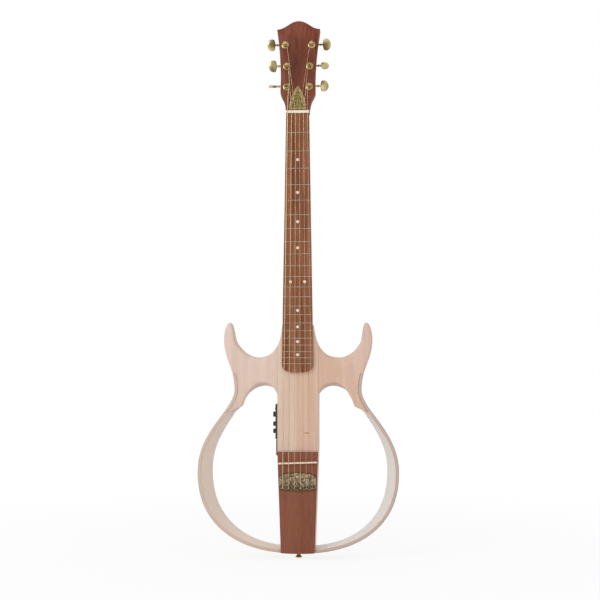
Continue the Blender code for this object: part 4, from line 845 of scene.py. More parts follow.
shoulderSet = {
    **inMm(
        grid=3.2, rows=(0.35, 0.9, 1.6, 2.5, 3.5, 4.6), rowStep=2.0, cell=0.5, apart=0.42, seam=0.18, carve=9.5,
        scoopDepth=4.0, scoopReach=16.5, scoopMiddle=80, scoopHalf=19, seamRound=0.4, archRound=1.3,
        scarfRound=0.6, fadeReach=20, fadeDown=470,
    ),
    "gridRise": 0.866, "backRound": 1.5, "scoopSkips": 12,
}


def distanceTo(points, segments):
    start, end, here = segments[:, 0][None], segments[:, 1][None], points[:, None]
    along = end - start
    share = np.clip(((here - start) * along).sum(2) / np.maximum((along**2).sum(2), 1e-18), 0, 1)
    return np.sqrt((((start + along * share[..., None]) - here) ** 2).sum(2)).min(1)


def isInside(points, loop):
    x, z = points[:, 0], points[:, 1]
    inside = np.zeros(len(points), bool)
    for (ax, az), (bx, bz) in zip(loop, np.roll(loop, -1, 0)):
        crosses = (az > z) != (bz > z)
        with np.errstate(divide="ignore", invalid="ignore"):
            at = (bx - ax) * (z - az) / (bz - az) + ax
        inside ^= crosses & (x < at)
    return inside


def fillLoop(loop):  # triangles inside a loop, with rows of points beside its edge and a grid between them
    given, loop = shoulderSet, np.array(loop)
    segments = np.stack([loop, np.roll(loop, -1, 0)], 1)
    area = (segments[:, 0, 0] * segments[:, 1, 1] - segments[:, 1, 0] * segments[:, 0, 1]).sum()
    points = []
    for reach in given["rows"]:
        wanted = []
        for start, end in segments:
            along = end - start
            length = float(np.hypot(*along))
            normal = np.array((-along[1], along[0])) / max(length, 1e-9) * (1 if area > 0 else -1)
            count = max(1, round(length / given["rowStep"]))
            wanted += [start + along * (k + 0.5) / count + normal * reach for k in range(count)]
        wanted = np.array(wanted)
        points.append(wanted[isInside(wanted, loop) & (distanceTo(wanted, segments) > reach * 0.96)])
    step, rise = given["grid"], given["grid"] * given["gridRise"]
    low, high = loop.min(0), loop.max(0)
    rows = []
    for i in range(int((high[1] - low[1]) / rise) + 1):
        for k in range(int((high[0] - low[0]) / step) + 1):
            rows.append((low[0] + (k + (i % 2) * 0.5) * step, low[1] + i * step * given["gridRise"]))
    rows = np.array(rows)
    points.append(rows[isInside(rows, loop) & (distanceTo(rows, segments) > given["rows"][-1] + step * 0.45)])
    kept, cells, size = [], {}, given["cell"]
    for point in np.concatenate(points):
        cell = (int(point[0] // size), int(point[1] // size))
        near = [cells.get((cell[0] + i, cell[1] + k)) for i in (-1, 0, 1) for k in (-1, 0, 1)]
        if all(other is None or np.hypot(*(other - point)) > given["apart"] for other in near):
            cells[cell] = point
            kept.append(point)
    count = len(loop)
    spots = [Vector(p) for p in (*loop, *kept)]
    ring = [(i, (i + 1) % count) for i in range(count)]
    verts, _, faces, origins, _, _ = geometry.delaunay_2d_cdt(spots, ring, [], 1, 1e-8)
    ringPlace = {}
    for i, row in enumerate(origins):
        for origin in row:
            ringPlace[origin] = i
    return np.array([tuple(v) for v in verts]), faces, [ringPlace[i] for i in range(count)]


def roundOff(distance, radius):  # how far a rounded edge falls back at a distance from it
    part = np.clip(1 - distance / np.maximum(radius, 1e-6), 0, 1)
    return radius * (1 - np.sqrt(1 - part**2))


def makeShoulder(side, word):
    given, seam = shoulderSet, bodySet["blockHalf"] + shoulderSet["seam"]
    upper = [(seam, crossHeight(cutawayPath, seam))] + [(x, z) for x, z in cutawayPath if x > seam + mm]
    outer = clipped(flankPath, -bodySet["hornTop"] - 0.5 * mm, -bodySet["rimStart"])
    scarf = clipped(flankPath, -bodySet["rimStart"], -bodySet["shoulderEnd"])
    scarf = inwards(scarf, bodySet["rimThickness"] + gap)
    edge = upper + outer + scarf
    loop, behind = [edge + list(reversed(archPath(seam, carve))) for carve in (0.0, given["carve"])]
    firstScarf, firstArch = len(upper) + len(outer), len(edge)
    lifted = []
    for i, (x, z) in enumerate(loop):
        share = (i - firstArch) / (len(loop) - 1 - firstArch)
        lifted.append((x, z + (bodySet["archFlare"] * math.sin(math.pi * share) if i >= firstArch else 0.0)))
    shape = bmesh.new()
    rings = []
    for ahead, ring in ((True, lifted), (False, behind)):
        flat, faces, places = fillLoop(ring)
        points = np.array(ring)
        edges = np.stack([points, np.roll(points, -1, 0)], 1)
        free, arches, scarves = edges[:firstScarf - 1], edges[firstArch:-1], edges[firstScarf:firstArch]
        toFree, toArch = distanceTo(flat, free), distanceTo(flat, arches)
        fade = [smoothStep((x - seam) / given["fadeReach"]) if z > -given["fadeDown"] else 1.0 for x, z in flat]
        fade = np.array(fade)
        grow = (bodySet["edgeRound"] - given["seamRound"]) * fade * (1.0 if ahead else given["backRound"])
        drop = roundOff(toFree, given["seamRound"] + grow)
        drop = np.maximum(drop, roundOff(toArch, given["archRound"]))
        drop = np.maximum(drop, roundOff(distanceTo(flat, scarves), given["scarfRound"]))
        if ahead:  # a hollow below the cutaway
            toCut = distanceTo(flat, edges[:len(upper) - given["scoopSkips"]])
            share = np.clip(1 - toCut / given["scoopReach"], 0, 1)
            sideways = np.exp(-(((flat[:, 0] - given["scoopMiddle"]) / given["scoopHalf"]) ** 4))
            drop = drop + given["scoopDepth"] * share * sideways
        verts = []
        for (x, z), down in zip(flat, drop):
            rise = smoothStep(shareOf(-z, bodySet["hornTop"], bodySet["leanStart"]))
            thick = between(bodySet["hornThickness"], bodySet["shoulderDepth"], rise)
            y = bodySet["face"] + (down if ahead else thick - down)
            verts.append(shape.verts.new(leaned(side * x, y, z)))
        for face in faces:
            shape.faces.new([verts[i] for i in face])
        rings.append([verts[i] for i in places])
    bandFaces(shape, *rings)
    addPiece("shoulder_" + word, shapeMesh(shape), shoulderWood[word])


for side, word in bothSides:
    makeShoulder(side, word)
print("shoulders carved")


# rims: bent strips, with their grain drawn along them


def rimRing(outside, inside, side):  # a cross-section with rounded corners, and each point's corner
    front, back = bodySet["rimFront"], bodySet["rimFront"] + bodySet["rimDepth"]
    (ox, oz), (ix, iz) = outside, inside
    reach, across = bodySet["rimRound"], math.hypot(ox - ix, oz - iz)
    ring, marks = [], []
    corners = [(0.0, front), (1.0, front), (1.0, back), (0.0, back)]
    for index, (share, y) in enumerate(corners):
        before, after = corners[index - 1], corners[(index + 1) % 4]
        for k in range(5):
            t = k / 4
            a, b = (1 - t) ** 2, t * t
            toward = [0.0, 0.0]
            for weight, other in ((a, before), (b, after)):
                toward[0] += weight * (other[0] - share) * min(reach / across, 1)
                toward[1] += weight * (1 if other[1] > y else -1 if other[1] < y else 0) * reach
            mixed = share + toward[0]
            kept = max(ox + (ix - ox) * mixed, blockHalf(-oz) + gap)
            ring.append(leaned(side * kept, y + toward[1], oz + (iz - oz) * mixed))
            marks.append(index)
    return ring, marks


def makeRim(side, word):
    stop = blockHalf(bodySet["tail"]) + gap
    path = clipped(flankPath, -bodySet["rimStart"] - gap, -bodySet["widest"] + 0.1 * mm) + tailPath(stop)
    inner = inwards(path, bodySet["rimThickness"])
    shape = bmesh.new()
    uv = shape.loops.layers.uv.new("UVMap")
    rows, along = [], [0.0]
    for i, (outside, inside) in enumerate(zip(path, inner)):
        ring, marks = rimRing(outside, inside, side)
        rows.append([shape.verts.new(p) for p in ring])
        if i:
            along.append(along[-1] + math.dist(path[i - 1], outside))
    count = len(marks)
    around = [0.0]
    sample = rows[9]
    for i in range(count):
        around.append(around[-1] + (sample[(i + 1) % count].co - sample[i].co).length)
    for i in range(len(rows) - 1):
        for k, face in enumerate(bandFaces(shape, rows[i], rows[i + 1])):
            face.material_index = 1 if k == 9 else 2 if k < 4 else 0  # inner face, outer front corner, rest
            for loop, (u, v) in zip(face.loops, ((i, k), (i, k + 1), (i + 1, k + 1), (i + 1, k))):
                loop[uv].uv = (along[u], around[v])
    for row in (rows[0], rows[-1]):
        face = shape.faces.new(row)
        for loop in face.loops:
            loop[uv].uv = (loop.vert.co.x * 0.1, loop.vert.co.y)
    mesh = shapeMesh(shape, False)
    for finish in rimWoods[word]:
        mesh.materials.append(finish)
    addPiece("rim_" + word, mesh, rimWoods[word][0])


for side, word in bothSides:
    makeRim(side, word)
print("rims bent")


# centre block, its front plates, and what is let into it

preampSet = {
    **inMm(
        top=542.4, length=65.6, depthMiddle=37, panelDepth=38, proud=4.6, boxLength=59, boxDepth=30,
        boxReach=25, wall=1.5, panelWall=2.5, knobHeight=5.2, shaft=1.5, potSetback=2, buttonDown=552,
        buttonRadius=2.4, buttonProud=2.2,
    ),
    "knobs": (
        ("volume_knob", "volume_control", 562.3, 5.0), ("bass_knob", "bass_control", 580.1, 4.3),
        ("treble_knob", "treble_control", 593.6, 4.3),
    ),
}
drawerSet = inMm(battery=(48.5, 17.5, 26.5), wall=1.2, faceHeight=29.7, proud=3.2)
jackSet = inMm(down=770, depth=37, bore=3.2, radius=5.6, length=28, plate=(18, 40, 1.5))
coverSet = inMm(size=(50, 66, 2), middle=690, cavity=30, ledge=6)
panelOutside = -bodySet["blockHalf"] - gap - preampSet["proud"]
preampMiddle = -(preampSet["top"] + preampSet["length"] / 2)
drawerMiddle = -(preampSet["top"] + preampSet["length"] + 2 * gap + drawerSet["faceHeight"] / 2)


def jackMatrix():
    narrowing = bodySet["blockHalf"] - bodySet["blockHalfTail"]
    fall = math.atan(narrowing / (bodySet["tail"] - bodySet["plateTop"]))
    place = Vector((-blockHalf(jackSet["down"]), jackSet["depth"], -jackSet["down"]))
    return placed(place, math.pi) @ Matrix.Rotation(fall, 4, "Y")


def tailCurve(steps):  # the block's lower end, from its right corner to the middle
    rows = [bodySet["blockHalfTail"] * (1 - i / steps) for i in range(steps)] + [0]
    return [(x, tailHeight(x)) for x in rows]


def blockOutline(whole, grow=0.0):
    half = bodySet["blockHalf"] + grow
    right = [(x, z) for x, z in cutawayPath if x < half]
    right += [(half, crossHeight(cutawayPath, half)), (half, -bodySet["plateTop"] - grow)]
    return mirroredOutline(right + (tailCurve(14) if whole else []))


def saddleDown(across):  # the slanted saddle's place under each string
    return bodySet["bridge"] + bodySet["saddleSlant"] * (0.5 - across / bodySet["saddle"][0])


def alongSaddle(front, back, grow):  # a bar along the slanted saddle
    length, thick = bodySet["saddle"]
    bar = wideBox(length / 2 + grow, front, back, -thick / 2 - grow, thick / 2 + grow)
    return moved(bar, placed((0, 0, -saddleDown(0)), -math.atan(bodySet["saddleSlant"] / length), "Y"))


def makeBlock():
    depth, back = preampSet["depthMiddle"], bodySet["back"]
    core = softened(plateMesh(blockOutline(True), coreFront, back), 1.6 * mm, 4, 60)
    lift, neckEnd, slopeDepth = 2 * over, -bodySet["neckLength"], bodySet["slopeDepth"]
    run = bodySet["slopeRun"] * (back + lift - slopeDepth) / (back - slopeDepth)
    section = [(slopeDepth, neckEnd), (back + lift, neckEnd - run),
               (back + lift, neckEnd + lift), (slopeDepth, neckEnd + lift)]
    slope = ringsMesh([[(x, y, z) for y, z in section] for x in (-6 * over, 6 * over)])
    start = -bodySet["blockHalf"]
    half, tall = preampSet["boxDepth"] / 2 + gap, preampSet["boxLength"] / 2 + gap
    preampRoom = boxMesh((start - over, depth - half, preampMiddle - tall),
                         (start + preampSet["boxReach"] + gap, depth + half, preampMiddle + tall))
    half, tall = [v / 2 + 2 * gap + drawerSet["wall"] for v in drawerSet["battery"][1:]]
    reach = drawerSet["battery"][0] + 2 * drawerSet["wall"] + 3 * gap
    drawerRoom = boxMesh((start - over, depth - half, drawerMiddle - tall),
                         (start + reach, depth + half, drawerMiddle + tall))
    wide, high, thick = coverSet["size"]
    middle, ledge = coverSet["middle"], coverSet["ledge"]
    recess = wideBox(wide / 2 + gap, back - thick - gap, back + over, -middle - high / 2 - gap,
                     -middle + high / 2 + gap)
    room = wideBox(wide / 2 - ledge, back - coverSet["cavity"], back - mm,
                   ledge - middle - high / 2, high / 2 - middle - ledge)
    half, deep, reach = [v + gap for v in bodySet["tongue"]]
    tongue = wideBox(half, coreFront - over, coreFront + deep, neckEnd - reach, neckEnd + lift)
    ends = [jackMatrix() @ Vector((x, 0, 0)) for x in (-jackSet["length"] - gap, over)]
    hole = rodMesh(*ends, jackSet["radius"] + gap, 32)
    core = without(core, tongue, slope, preampRoom, drawerRoom, recess, room, hole)
    addPiece("centre_block", core, blockWood)
    top = plateMesh(blockOutline(False, 0.12 * mm), bodySet["face"], coreFront - gap)
    addPiece("centre_top", softened(top, 0.16 * mm, 2), topWood)
    right = [(bodySet["blockHalf"], -bodySet["plateTop"] - gap)] + tailCurve(16)
    plate = softened(plateMesh(mirroredOutline(right), bodySet["plateFace"], coreFront - gap), 0.6 * mm, 3)
    slot = alongSaddle(-2 * over, bodySet["slotFoot"], gap)
    addPiece("tail_plate", without(plate, slot), plateWood)


makeBlock()
print("block and plates made")


# neck, headstock and fretboard

neckSet = {
    **inMm(
        nutWidth=43, nutThickness=5.4, nutStand=2.6, endWidth=58.5, boardThickness=6, overhang=16.2,
        scale=649, depthNut=15, depthHeel=18.5, heelDepth=24, heelRise=45, fretWidth=1.7, fretCrown=0.8,
        dotsApart=26.4, sideDotDepth=2.9, taperStart=20, channel=(6.2, 6.8, 11.7), pocket=(9.2, 8, 17),
    ),
    "endPower": 2.8, "frets": 22, "dots": (3, 5, 7, 9, 12, 15, 17, 19, 21), "dotRadius": 2.7,
}
headSet = {
    **inMm(
        rootY=2, length=178.5, corner=(40.8, 162), halfLow=32.4, veneer=2, thickness=14, postBore=5.1,
    ),
    "tilt": 10, "posts": ((21.2, 46.2), (21.6, 87.1), (25.0, 130.0)),
}
headRoot = (0, headSet["rootY"], neckSet["nutThickness"] + 3 * gap)
headMatrix = placed(headRoot, -math.radians(headSet["tilt"]), "X")


def fretDown(number):
    return neckSet["scale"] * (1 - 2 ** (-number / 12))


def boardHalf(down):
    return between(neckSet["nutWidth"], neckSet["endWidth"], down / fretDown(neckSet["frets"])) / 2


def throughPoints(points, steps):  # a smooth curve through points
    out = []
    for i in range(len(points) - 1):
        p0, p1, p2, p3 = [Vector(points[min(max(i + k, 0), len(points) - 1)]) for k in (-1, 0, 1, 2)]
        for k in range(steps):
            t = k / steps
            point = 0.5 * (2 * p1 + (p2 - p0) * t + (2 * p0 - 5 * p1 + 4 * p2 - p3) * t * t
                           + (3 * p1 - p0 - 3 * p2 + p3) * t**3)
            out.append(tuple(point))
    return out + [tuple(points[-1])]


def headOutline(root):
    start, low = boardHalf(0) + 0.8 * mm, headSet["halfLow"]
    knots = [
        (start, 0.0), (start + 1.4 * mm, 11 * mm), (start + 4 * mm, 20 * mm), (start + 7.6 * mm, 27.2 * mm),
        (low - 1 * mm, 31.5 * mm), (low + 0.4 * mm, 36.5 * mm), (low, 64 * mm), (low + 1.6 * mm, 100 * mm),
        (low + 4.5 * mm, 132 * mm), headSet["corner"],
    ]
    right = ([(start, -root)] if root else []) + throughPoints(knots, 4)
    corner, peak = Vector(headSet["corner"]), Vector((0, headSet["length"]))
    reach = Vector((corner.x * 0.42, 0))
    crest = geometry.interpolate_bezier(corner, corner - reach, peak + reach, peak, 24)
    return mirroredOutline(right + [(p.x, p.y) for p in crest[1:-1]] + [(0, headSet["length"])])


def tunerPlaces():  # side, distance across and height of each post on the headstock's face
    rows = [(side, side * out * mm, up * mm) for side in (-1, 1) for out, up in headSet["posts"]]
    return rows[:3] + rows[:2:-1]


def postBores():
    radius = headSet["postBore"]
    return [rodMesh((x, -2 * over, z), (x, 3 * over, z), radius, 24) for _, x, z in tunerPlaces()]


def neckRing(half, front, depth, z):
    turns = [math.pi * i / 30 for i in range(31)]
    return [(half * math.cos(t), front + depth * math.sin(t) ** 0.8, z) for t in turns]


def makeNeck():
    front, end = neckSet["boardThickness"], bodySet["neckLength"]
    inner = headMatrix @ Vector((0, headSet["veneer"] + 4 * mm, 12 * mm))
    rings = []
    low = (boardHalf(0), front, neckSet["depthNut"], neckSet["nutThickness"] * 0.6)
    high = (boardHalf(0) - 3 * mm, inner.y, headSet["thickness"] * 0.55, inner.z)
    for i in range(7):
        share = 1 - i / 6
        ease = smoothStep(share)
        row = [between(a, b, ease) for a, b in zip(low[:3], high)]
        rings.append(neckRing(*row, between(low[3], high[3], share)))
    taperStart, taper = neckSet["taperStart"], end - neckSet["heelRise"]
    for i in range(26):
        down = 8 * mm + (end - 8 * mm) * i / 25
        depth = between(neckSet["depthNut"], neckSet["depthHeel"], shareOf(down, taperStart, taper))
        heel = smoothStep((down - taper) / neckSet["heelRise"])
        depth += (neckSet["heelDepth"] - neckSet["depthHeel"]) * heel
        rings.append(neckRing(boardHalf(down), front, depth, -down))
    neck = ringsMesh(rings)
    blankFront = headSet["veneer"] + gap
    blank = plateMesh(headOutline(4 * mm), blankFront, blankFront + headSet["thickness"])
    blank = moved(softened(blank, 0.8 * mm, 3, 50), headMatrix)
    nut, width = neckSet["nutThickness"], neckSet["nutWidth"]
    half, deep, reach = bodySet["tongue"]
    tongue = wideBox(half, coreFront, coreFront + deep, -end - reach, -end + 6 * mm)
    seat = wideBox(width, -width, front, -nut, nut + gap)
    wide, deep, stop = neckSet["channel"]
    channel = wideBox(wide / 2, -over, front + deep, -end + stop, nut + 2 * mm)
    wide, deep, tall = neckSet["pocket"]
    pocket = wideBox(wide / 2, -over, front + deep, nut + gap, nut + tall)
    bores = [moved(bore, headMatrix) for bore in postBores()]
    neck = without(united(neck, blank, tongue), seat, channel, pocket, *bores)
    addPiece("neck", neck, neckWood)
    veneer = softened(plateMesh(headOutline(0), 0, headSet["veneer"]), 0.35 * mm, 2, 50)
    addPiece("headstock_veneer", moved(without(veneer, *postBores()), headMatrix), headWood)


makeNeck()


def boardOutline():
    end = fretDown(neckSet["frets"])
    half, power = boardHalf(end), neckSet["endPower"]
    turns = [math.pi / 2 * i / 20 for i in range(21)]
    low = []
    for turn in turns:
        across, down = half * max(math.cos(turn), 0) ** (2 / power), math.sin(turn) ** (2 / power)
        low.append((across, -end - neckSet["overhang"] * down))
    low[-1] = (0.0, low[-1][1])
    return mirroredOutline([(boardHalf(0), 0)] + low)


def fretTemplate():  # unit length along X, with its crown towards -Y and its ends sloped
    half = [(0.5, 0.4), (0.5, -0.15), (0.38, -0.62), (0.2, -0.9)]
    section = [(-z, y) for z, y in half] + [(0.0, -1.0)] + half[::-1]
    wide, tall = neckSet["fretWidth"], neckSet["fretCrown"]
    return ringsMesh([[(end * (1 - 0.012 * max(-y, 0)), y * tall, z * wide) for z, y in section]
                      for end in (-0.5, 0.5)])


def makeBoard():
    board = softened(plateMesh(boardOutline(), 0, neckSet["boardThickness"] - gap), 0.5 * mm, 3, 50)
    addPiece("fretboard", board, boardWood)
    rows = []
    for number in range(1, neckSet["frets"] + 1):
        down = fretDown(number)
        rows.append(((0, 0, -down), (0, 0, 0), (2 * (boardHalf(down) - gap), 1, 1)))
    addPiece("frets", repeated(fretTemplate(), rows, fretMetal), fretMetal, alone=True)
    radius = neckSet["dotRadius"]
    profile = [(0, 0.06), (radius, 0.06), (radius, -0.5), (0, -0.5)]
    disc = latheMesh(eased(profile, 0.06, 3), 32, Matrix.Scale(mm, 4))
    places, sides = [], []
    for number in neckSet["dots"]:
        down = (fretDown(number) + fretDown(number - 1)) / 2
        for sign in ((-1, 1) if number == 12 else (0,)):
            places.append(((sign * neckSet["dotsApart"] / 2, 0, -down), facing((0, -1, 0)), (1, 1, 1)))
            beside = down + sign * 4 * mm
            spot = (-boardHalf(beside) - 0.01 * mm, neckSet["sideDotDepth"], -beside)
            sides.append((spot, facing((-1, 0, 0)), (0.4, 0.4, 1)))
    addPiece("position_dots", repeated(disc, places + sides, pearl), pearl, alone=True)


makeBoard()
print("neck, headstock and fretboard made")


# tuning machines

tunerSet = {
    **inMm(
        postRadius=3, waist=2.6, front=11.8, cap=2, hole=0.9, bushing=7, tube=4.8, flange=1.8, bushingLength=9,
        wheelDepth=19.8, wheelTip=6.35, wheelRoot=5.1, wheelFace=3, wormOffset=9, wormCore=2.3, wormThread=0.7,
        width=17, low=8.6, high=14.6, housingFront=16.6, housingDepth=9.8, knobStart=20.4, knobLength=15.2,
        knobHeight=22.1, knobThickness=5.5,
    ),
    "wheelTeeth": 15, "wormPitch": math.pi * 0.79 * mm, "knobTurns": (64, -20, -20, 25, 78, 0),
}


def holeDepth():
    return -tunerSet["front"] + tunerSet["cap"] + 2 * tunerSet["hole"]


def toFront(across, up, depth=0.0):  # a lathe's Z comes out of the headstock's face
    return headMatrix @ Matrix.Translation((across, depth, up)) @ Matrix.Rotation(math.pi / 2, 4, "X")


def makePost(name, across, up):
    given = tunerSet
    radius, waist, front, cap = given["postRadius"], given["waist"], given["front"], given["cap"]
    seat, end = given["flange"] + gap, given["wheelDepth"] + given["wheelFace"] / 2 + 0.8 * mm
    profile = [
        (0, front - 0.25 * mm), (0.9 * mm, front - 0.25 * mm), (1.3 * mm, front), (radius - 0.5 * mm, front),
        (radius + 0.3 * mm, front - cap * 0.4), (radius + 0.3 * mm, front - cap),
        (waist, front - cap - 0.6 * mm),
        (waist, seat + 0.2 * mm), (radius, seat - 0.6 * mm), (radius, -end), (0, -end),
    ]
    post = latheMesh(eased(profile, 0.35 * mm, 3), 32, toFront(across, up))
    bore = [headMatrix @ Vector((across + x, holeDepth(), up)) for x in (-0.01, 0.01)]
    post = without(post, rodMesh(*bore, given["hole"], 16))
    outline, step = [], 2 * math.pi / given["wheelTeeth"]
    for tooth in range(given["wheelTeeth"]):
        middle = math.pi / 2 + (tooth + 0.5) * step
        for far, part in ((0, -0.19), (1, -0.09), (1, 0.09), (0, 0.19)):
            reach = given["wheelTip"] if far else given["wheelRoot"]
            angle = middle + part * step
            outline.append((across + reach * math.cos(angle), up + reach * math.sin(angle)))
    first = given["wheelDepth"] - given["wheelFace"] / 2
    wheel = moved(plateMesh(outline, first, first + given["wheelFace"]), headMatrix)
    addPiece("tuner_post_" + name, joined(post, wheel), gold, "post_" + name)


def makeBushing(name, across, up):
    given = tunerSet
    bore, flange, tube = given["postRadius"] + gap, given["flange"], given["tube"]
    wide, end = given["bushing"], -given["bushingLength"]
    profile = [
        (bore, flange), (tube + 0.3 * mm, flange), (tube + 0.6 * mm, flange * 0.62),
        (wide - 0.7 * mm, flange * 0.5), (wide, gap + 0.25 * mm), (wide, gap), (tube, gap), (tube, end),
        (bore, end),
    ]
    made = latheMesh(eased(profile, 0.3 * mm, 3, True), 40, toFront(across, up), True)
    addPiece("tuner_bushing_" + name, made, gold)


def makeHousing(name, side, across, up):
    given = tunerSet
    front, deep = given["housingFront"], given["housingDepth"]
    wide, high, low = given["width"] / 2, given["high"], given["low"]
    back = front + deep - 0.9 * mm
    body = softened(boxMesh((across - wide, front, up - low), (across + wide, back, up + high)), 2.6 * mm, 5)
    crown = [(0, deep), (2.2 * mm, deep), (4.6 * mm, deep - 0.25 * mm), (5.6 * mm, deep - 1.0 * mm),
             (5.6 * mm, deep - 3 * mm), (0, deep - 3 * mm)]
    place = placed((across, front, up), -math.pi / 2, "X")
    body = united(body, latheMesh(eased(crown, 0.5 * mm, 3), 40, place))
    floor, axis, wormUp = front + deep - 2.2 * mm, given["wheelDepth"], up + given["wormOffset"]
    reach = given["wormCore"] + 2 * given["wormThread"] + 2 * gap
    half = given["wormPitch"] + 1.3 * mm
    room = rodMesh((across, front - 2 * mm, up), (across, floor, up), given["wheelTip"] + 2 * gap, 28)
    worm = boxMesh((across - half, front - 3 * mm, wormUp - reach),
                   (across + half, axis + reach, wormUp + reach))
    ends = [(across + side * out, axis, wormUp) for out in (-half - 1.2 * mm, given["width"])]
    bore = rodMesh(*ends, given["wormCore"] + gap, 20)
    made = moved(without(body, room, worm, bore), headMatrix)
    addPiece("tuner_housing_" + name, made, gold)


def makeTunerKnob(name, side, across, up, turn):
    given = tunerSet
    start, length = given["knobStart"], given["knobLength"]
    tall, thick = given["knobHeight"], given["knobThickness"]
    local = headMatrix @ Matrix.Translation((across, given["wheelDepth"], up + given["wormOffset"]))
    local = local @ Matrix.Rotation(0 if side > 0 else math.pi, 4, "Z")
    shaftEnd, wide = given["wormPitch"] + 2 * mm, given["width"] / 2
    profile = [
        (0, start + length * 0.55), (1.2 * mm, start + length * 0.5), (2.4 * mm, start + length * 0.1),
        (1.7 * mm, start - 1.2 * mm), (1.7 * mm, start - 3 * mm), (2.8 * mm, start - 3.6 * mm),
        (2.8 * mm, start - 4.4 * mm), (1.7 * mm, start - 5.2 * mm), (1.7 * mm, wide + 3 * mm),
        (3.2 * mm, wide + 2.2 * mm), (3.2 * mm, wide + gap), (2.3 * mm, wide + gap), (2.3 * mm, -shaftEnd),
        (0, -shaftEnd),
    ]
    shaft = latheMesh(eased(profile, 0.4 * mm, 3), 28, local @ Matrix.Rotation(math.pi / 2, 4, "Y"))
    middle = start + length / 2
    outline = []
    for i in range(56):
        out, up = math.cos(2 * math.pi * i / 56), math.sin(2 * math.pi * i / 56)
        if out < 0:  # the straight side, towards the headstock
            out, up = -0.42 * (-out) ** 0.55, math.copysign(abs(up) ** 0.85, up)
        outline.append((length * (0.58 * max(out, 0) + min(out, 0) - 0.08), tall / 2 * up))
    shares = ((0.04, 1.0), (0.3, 1.0), (0.6, 1.0), (0.8, 0.97), (0.9, 0.82), (0.97, 0.54), (1.0, 0.16))
    rings = []
    for face in (-1, 1):
        for share, depth in (shares if face < 0 else shares[::-1]):
            ring = []
            for x, z in outline:
                thinner = 1 - 0.5 * abs(z * share) / (tall / 2)
                ring.append((middle + x * share, face * depth * thick / 2 * thinner, z * share))
            rings.append(ring)
    wing = moved(ringsMesh(rings), local @ Matrix.Rotation(math.radians(turn), 4, "X"))
    path, radius = [], given["wormCore"] + given["wormThread"] * 0.6
    for i in range(49):
        share = i / 48 - 0.5
        angle = 4 * math.pi * share - math.pi / 2
        spot = (2 * given["wormPitch"] * share, radius * math.cos(angle), radius * math.sin(angle))
        path.append(local @ Vector(spot))
    thread = wireMesh(path, given["wormThread"], knobGold, 8)
    addPiece("tuner_knob_" + name, joined(shaft, wing, thread), knobGold, "knob_" + name)


for name, (side, across, up), turn in zip(stringNames, tunerPlaces(), tunerSet["knobTurns"]):
    makePost(name, across, up)
    makeBushing(name, across, up)
    makeHousing(name, side, across, up)
    makeTunerKnob(name, side, across, up, turn)
houses = []
for side, across, up in tunerPlaces():
    spot = Vector((across, tunerSet["housingFront"] + tunerSet["housingDepth"] - 0.9 * mm, up + 11.3 * mm))
    houses.append((headMatrix @ spot, headMatrix.to_3x3() @ Vector((0, 1, 0))))
setScrews("housing_screws", houses, 1.7 * mm, gold)
print("tuning machines made")


# strings, nut and saddle

stringSet = {
    **inMm(
        spreadNut=37.2, spreadSaddle=54, riseNut=1.2, riseSaddle=4.8, clearance=0.52, ballDown=697,
        ballRadius=1.9, ballLength=3.8,
    ),
    "diameters": (1.35, 1.07, 0.81, 0.61, 0.42, 0.32), "turns": (2.5, 2.5, 3.5, 4.5, 5.5, 5.5),
    "loopPoints": 30,
}
tailpieceSet = inMm(top=668.5, height=33.5, half=34.9, thickness=3.2, arch=10, sag=3)


def stringAcross(index, down):
    spread = between(stringSet["spreadNut"], stringSet["spreadSaddle"], down / neckSet["scale"])
    return (index / 5 - 0.5) * spread


def nutPoint(index):
    radius = stringSet["diameters"][index] * mm / 2
    return Vector((stringAcross(index, 0), -stringSet["riseNut"] - gap - radius, 0))


def windingPoints(index):  # in the headstock's own frame, from where the string meets the post
    side, across, up = tunerPlaces()[index]
    diameter = stringSet["diameters"][index] * mm
    radius = tunerSet["waist"] + gap + diameter / 2
    low = -tunerSet["flange"] - gap - stringSet["clearance"] - diameter / 2
    start = headMatrix.inverted() @ nutPoint(index)
    reach = Vector((across - start.x, up - start.z))
    heading = math.atan2(reach.y, reach.x) + side * math.asin(radius / reach.length)
    touch = heading + side * math.pi / 2
    turns, loop = stringSet["turns"][index], stringSet["loopPoints"]
    count = int(turns * loop)
    packed, rise = turns - 0.6, diameter * 1.12  # the last part of a turn climbs to the hole
    climb = holeDepth() - (low - rise * packed)
    points = []
    for i in range(count + 1):
        done = i / loop
        depth = low - rise * min(done, packed) + climb * smoothStep((done - turns + 0.6) / 0.6)
        angle = touch - side * 2 * math.pi * done
        points.append(Vector((across + radius * math.cos(angle), depth, up + radius * math.sin(angle))))
    last = (points[-1] - points[-2]).normalized()
    outward = Vector((points[-1].x - across, 0, points[-1].z - up)).normalized()
    points.append(points[-1] + last * 0.9 * mm)
    points.append(points[-1] + (last + outward * 0.8).normalized() * 1.6 * mm)
    return points


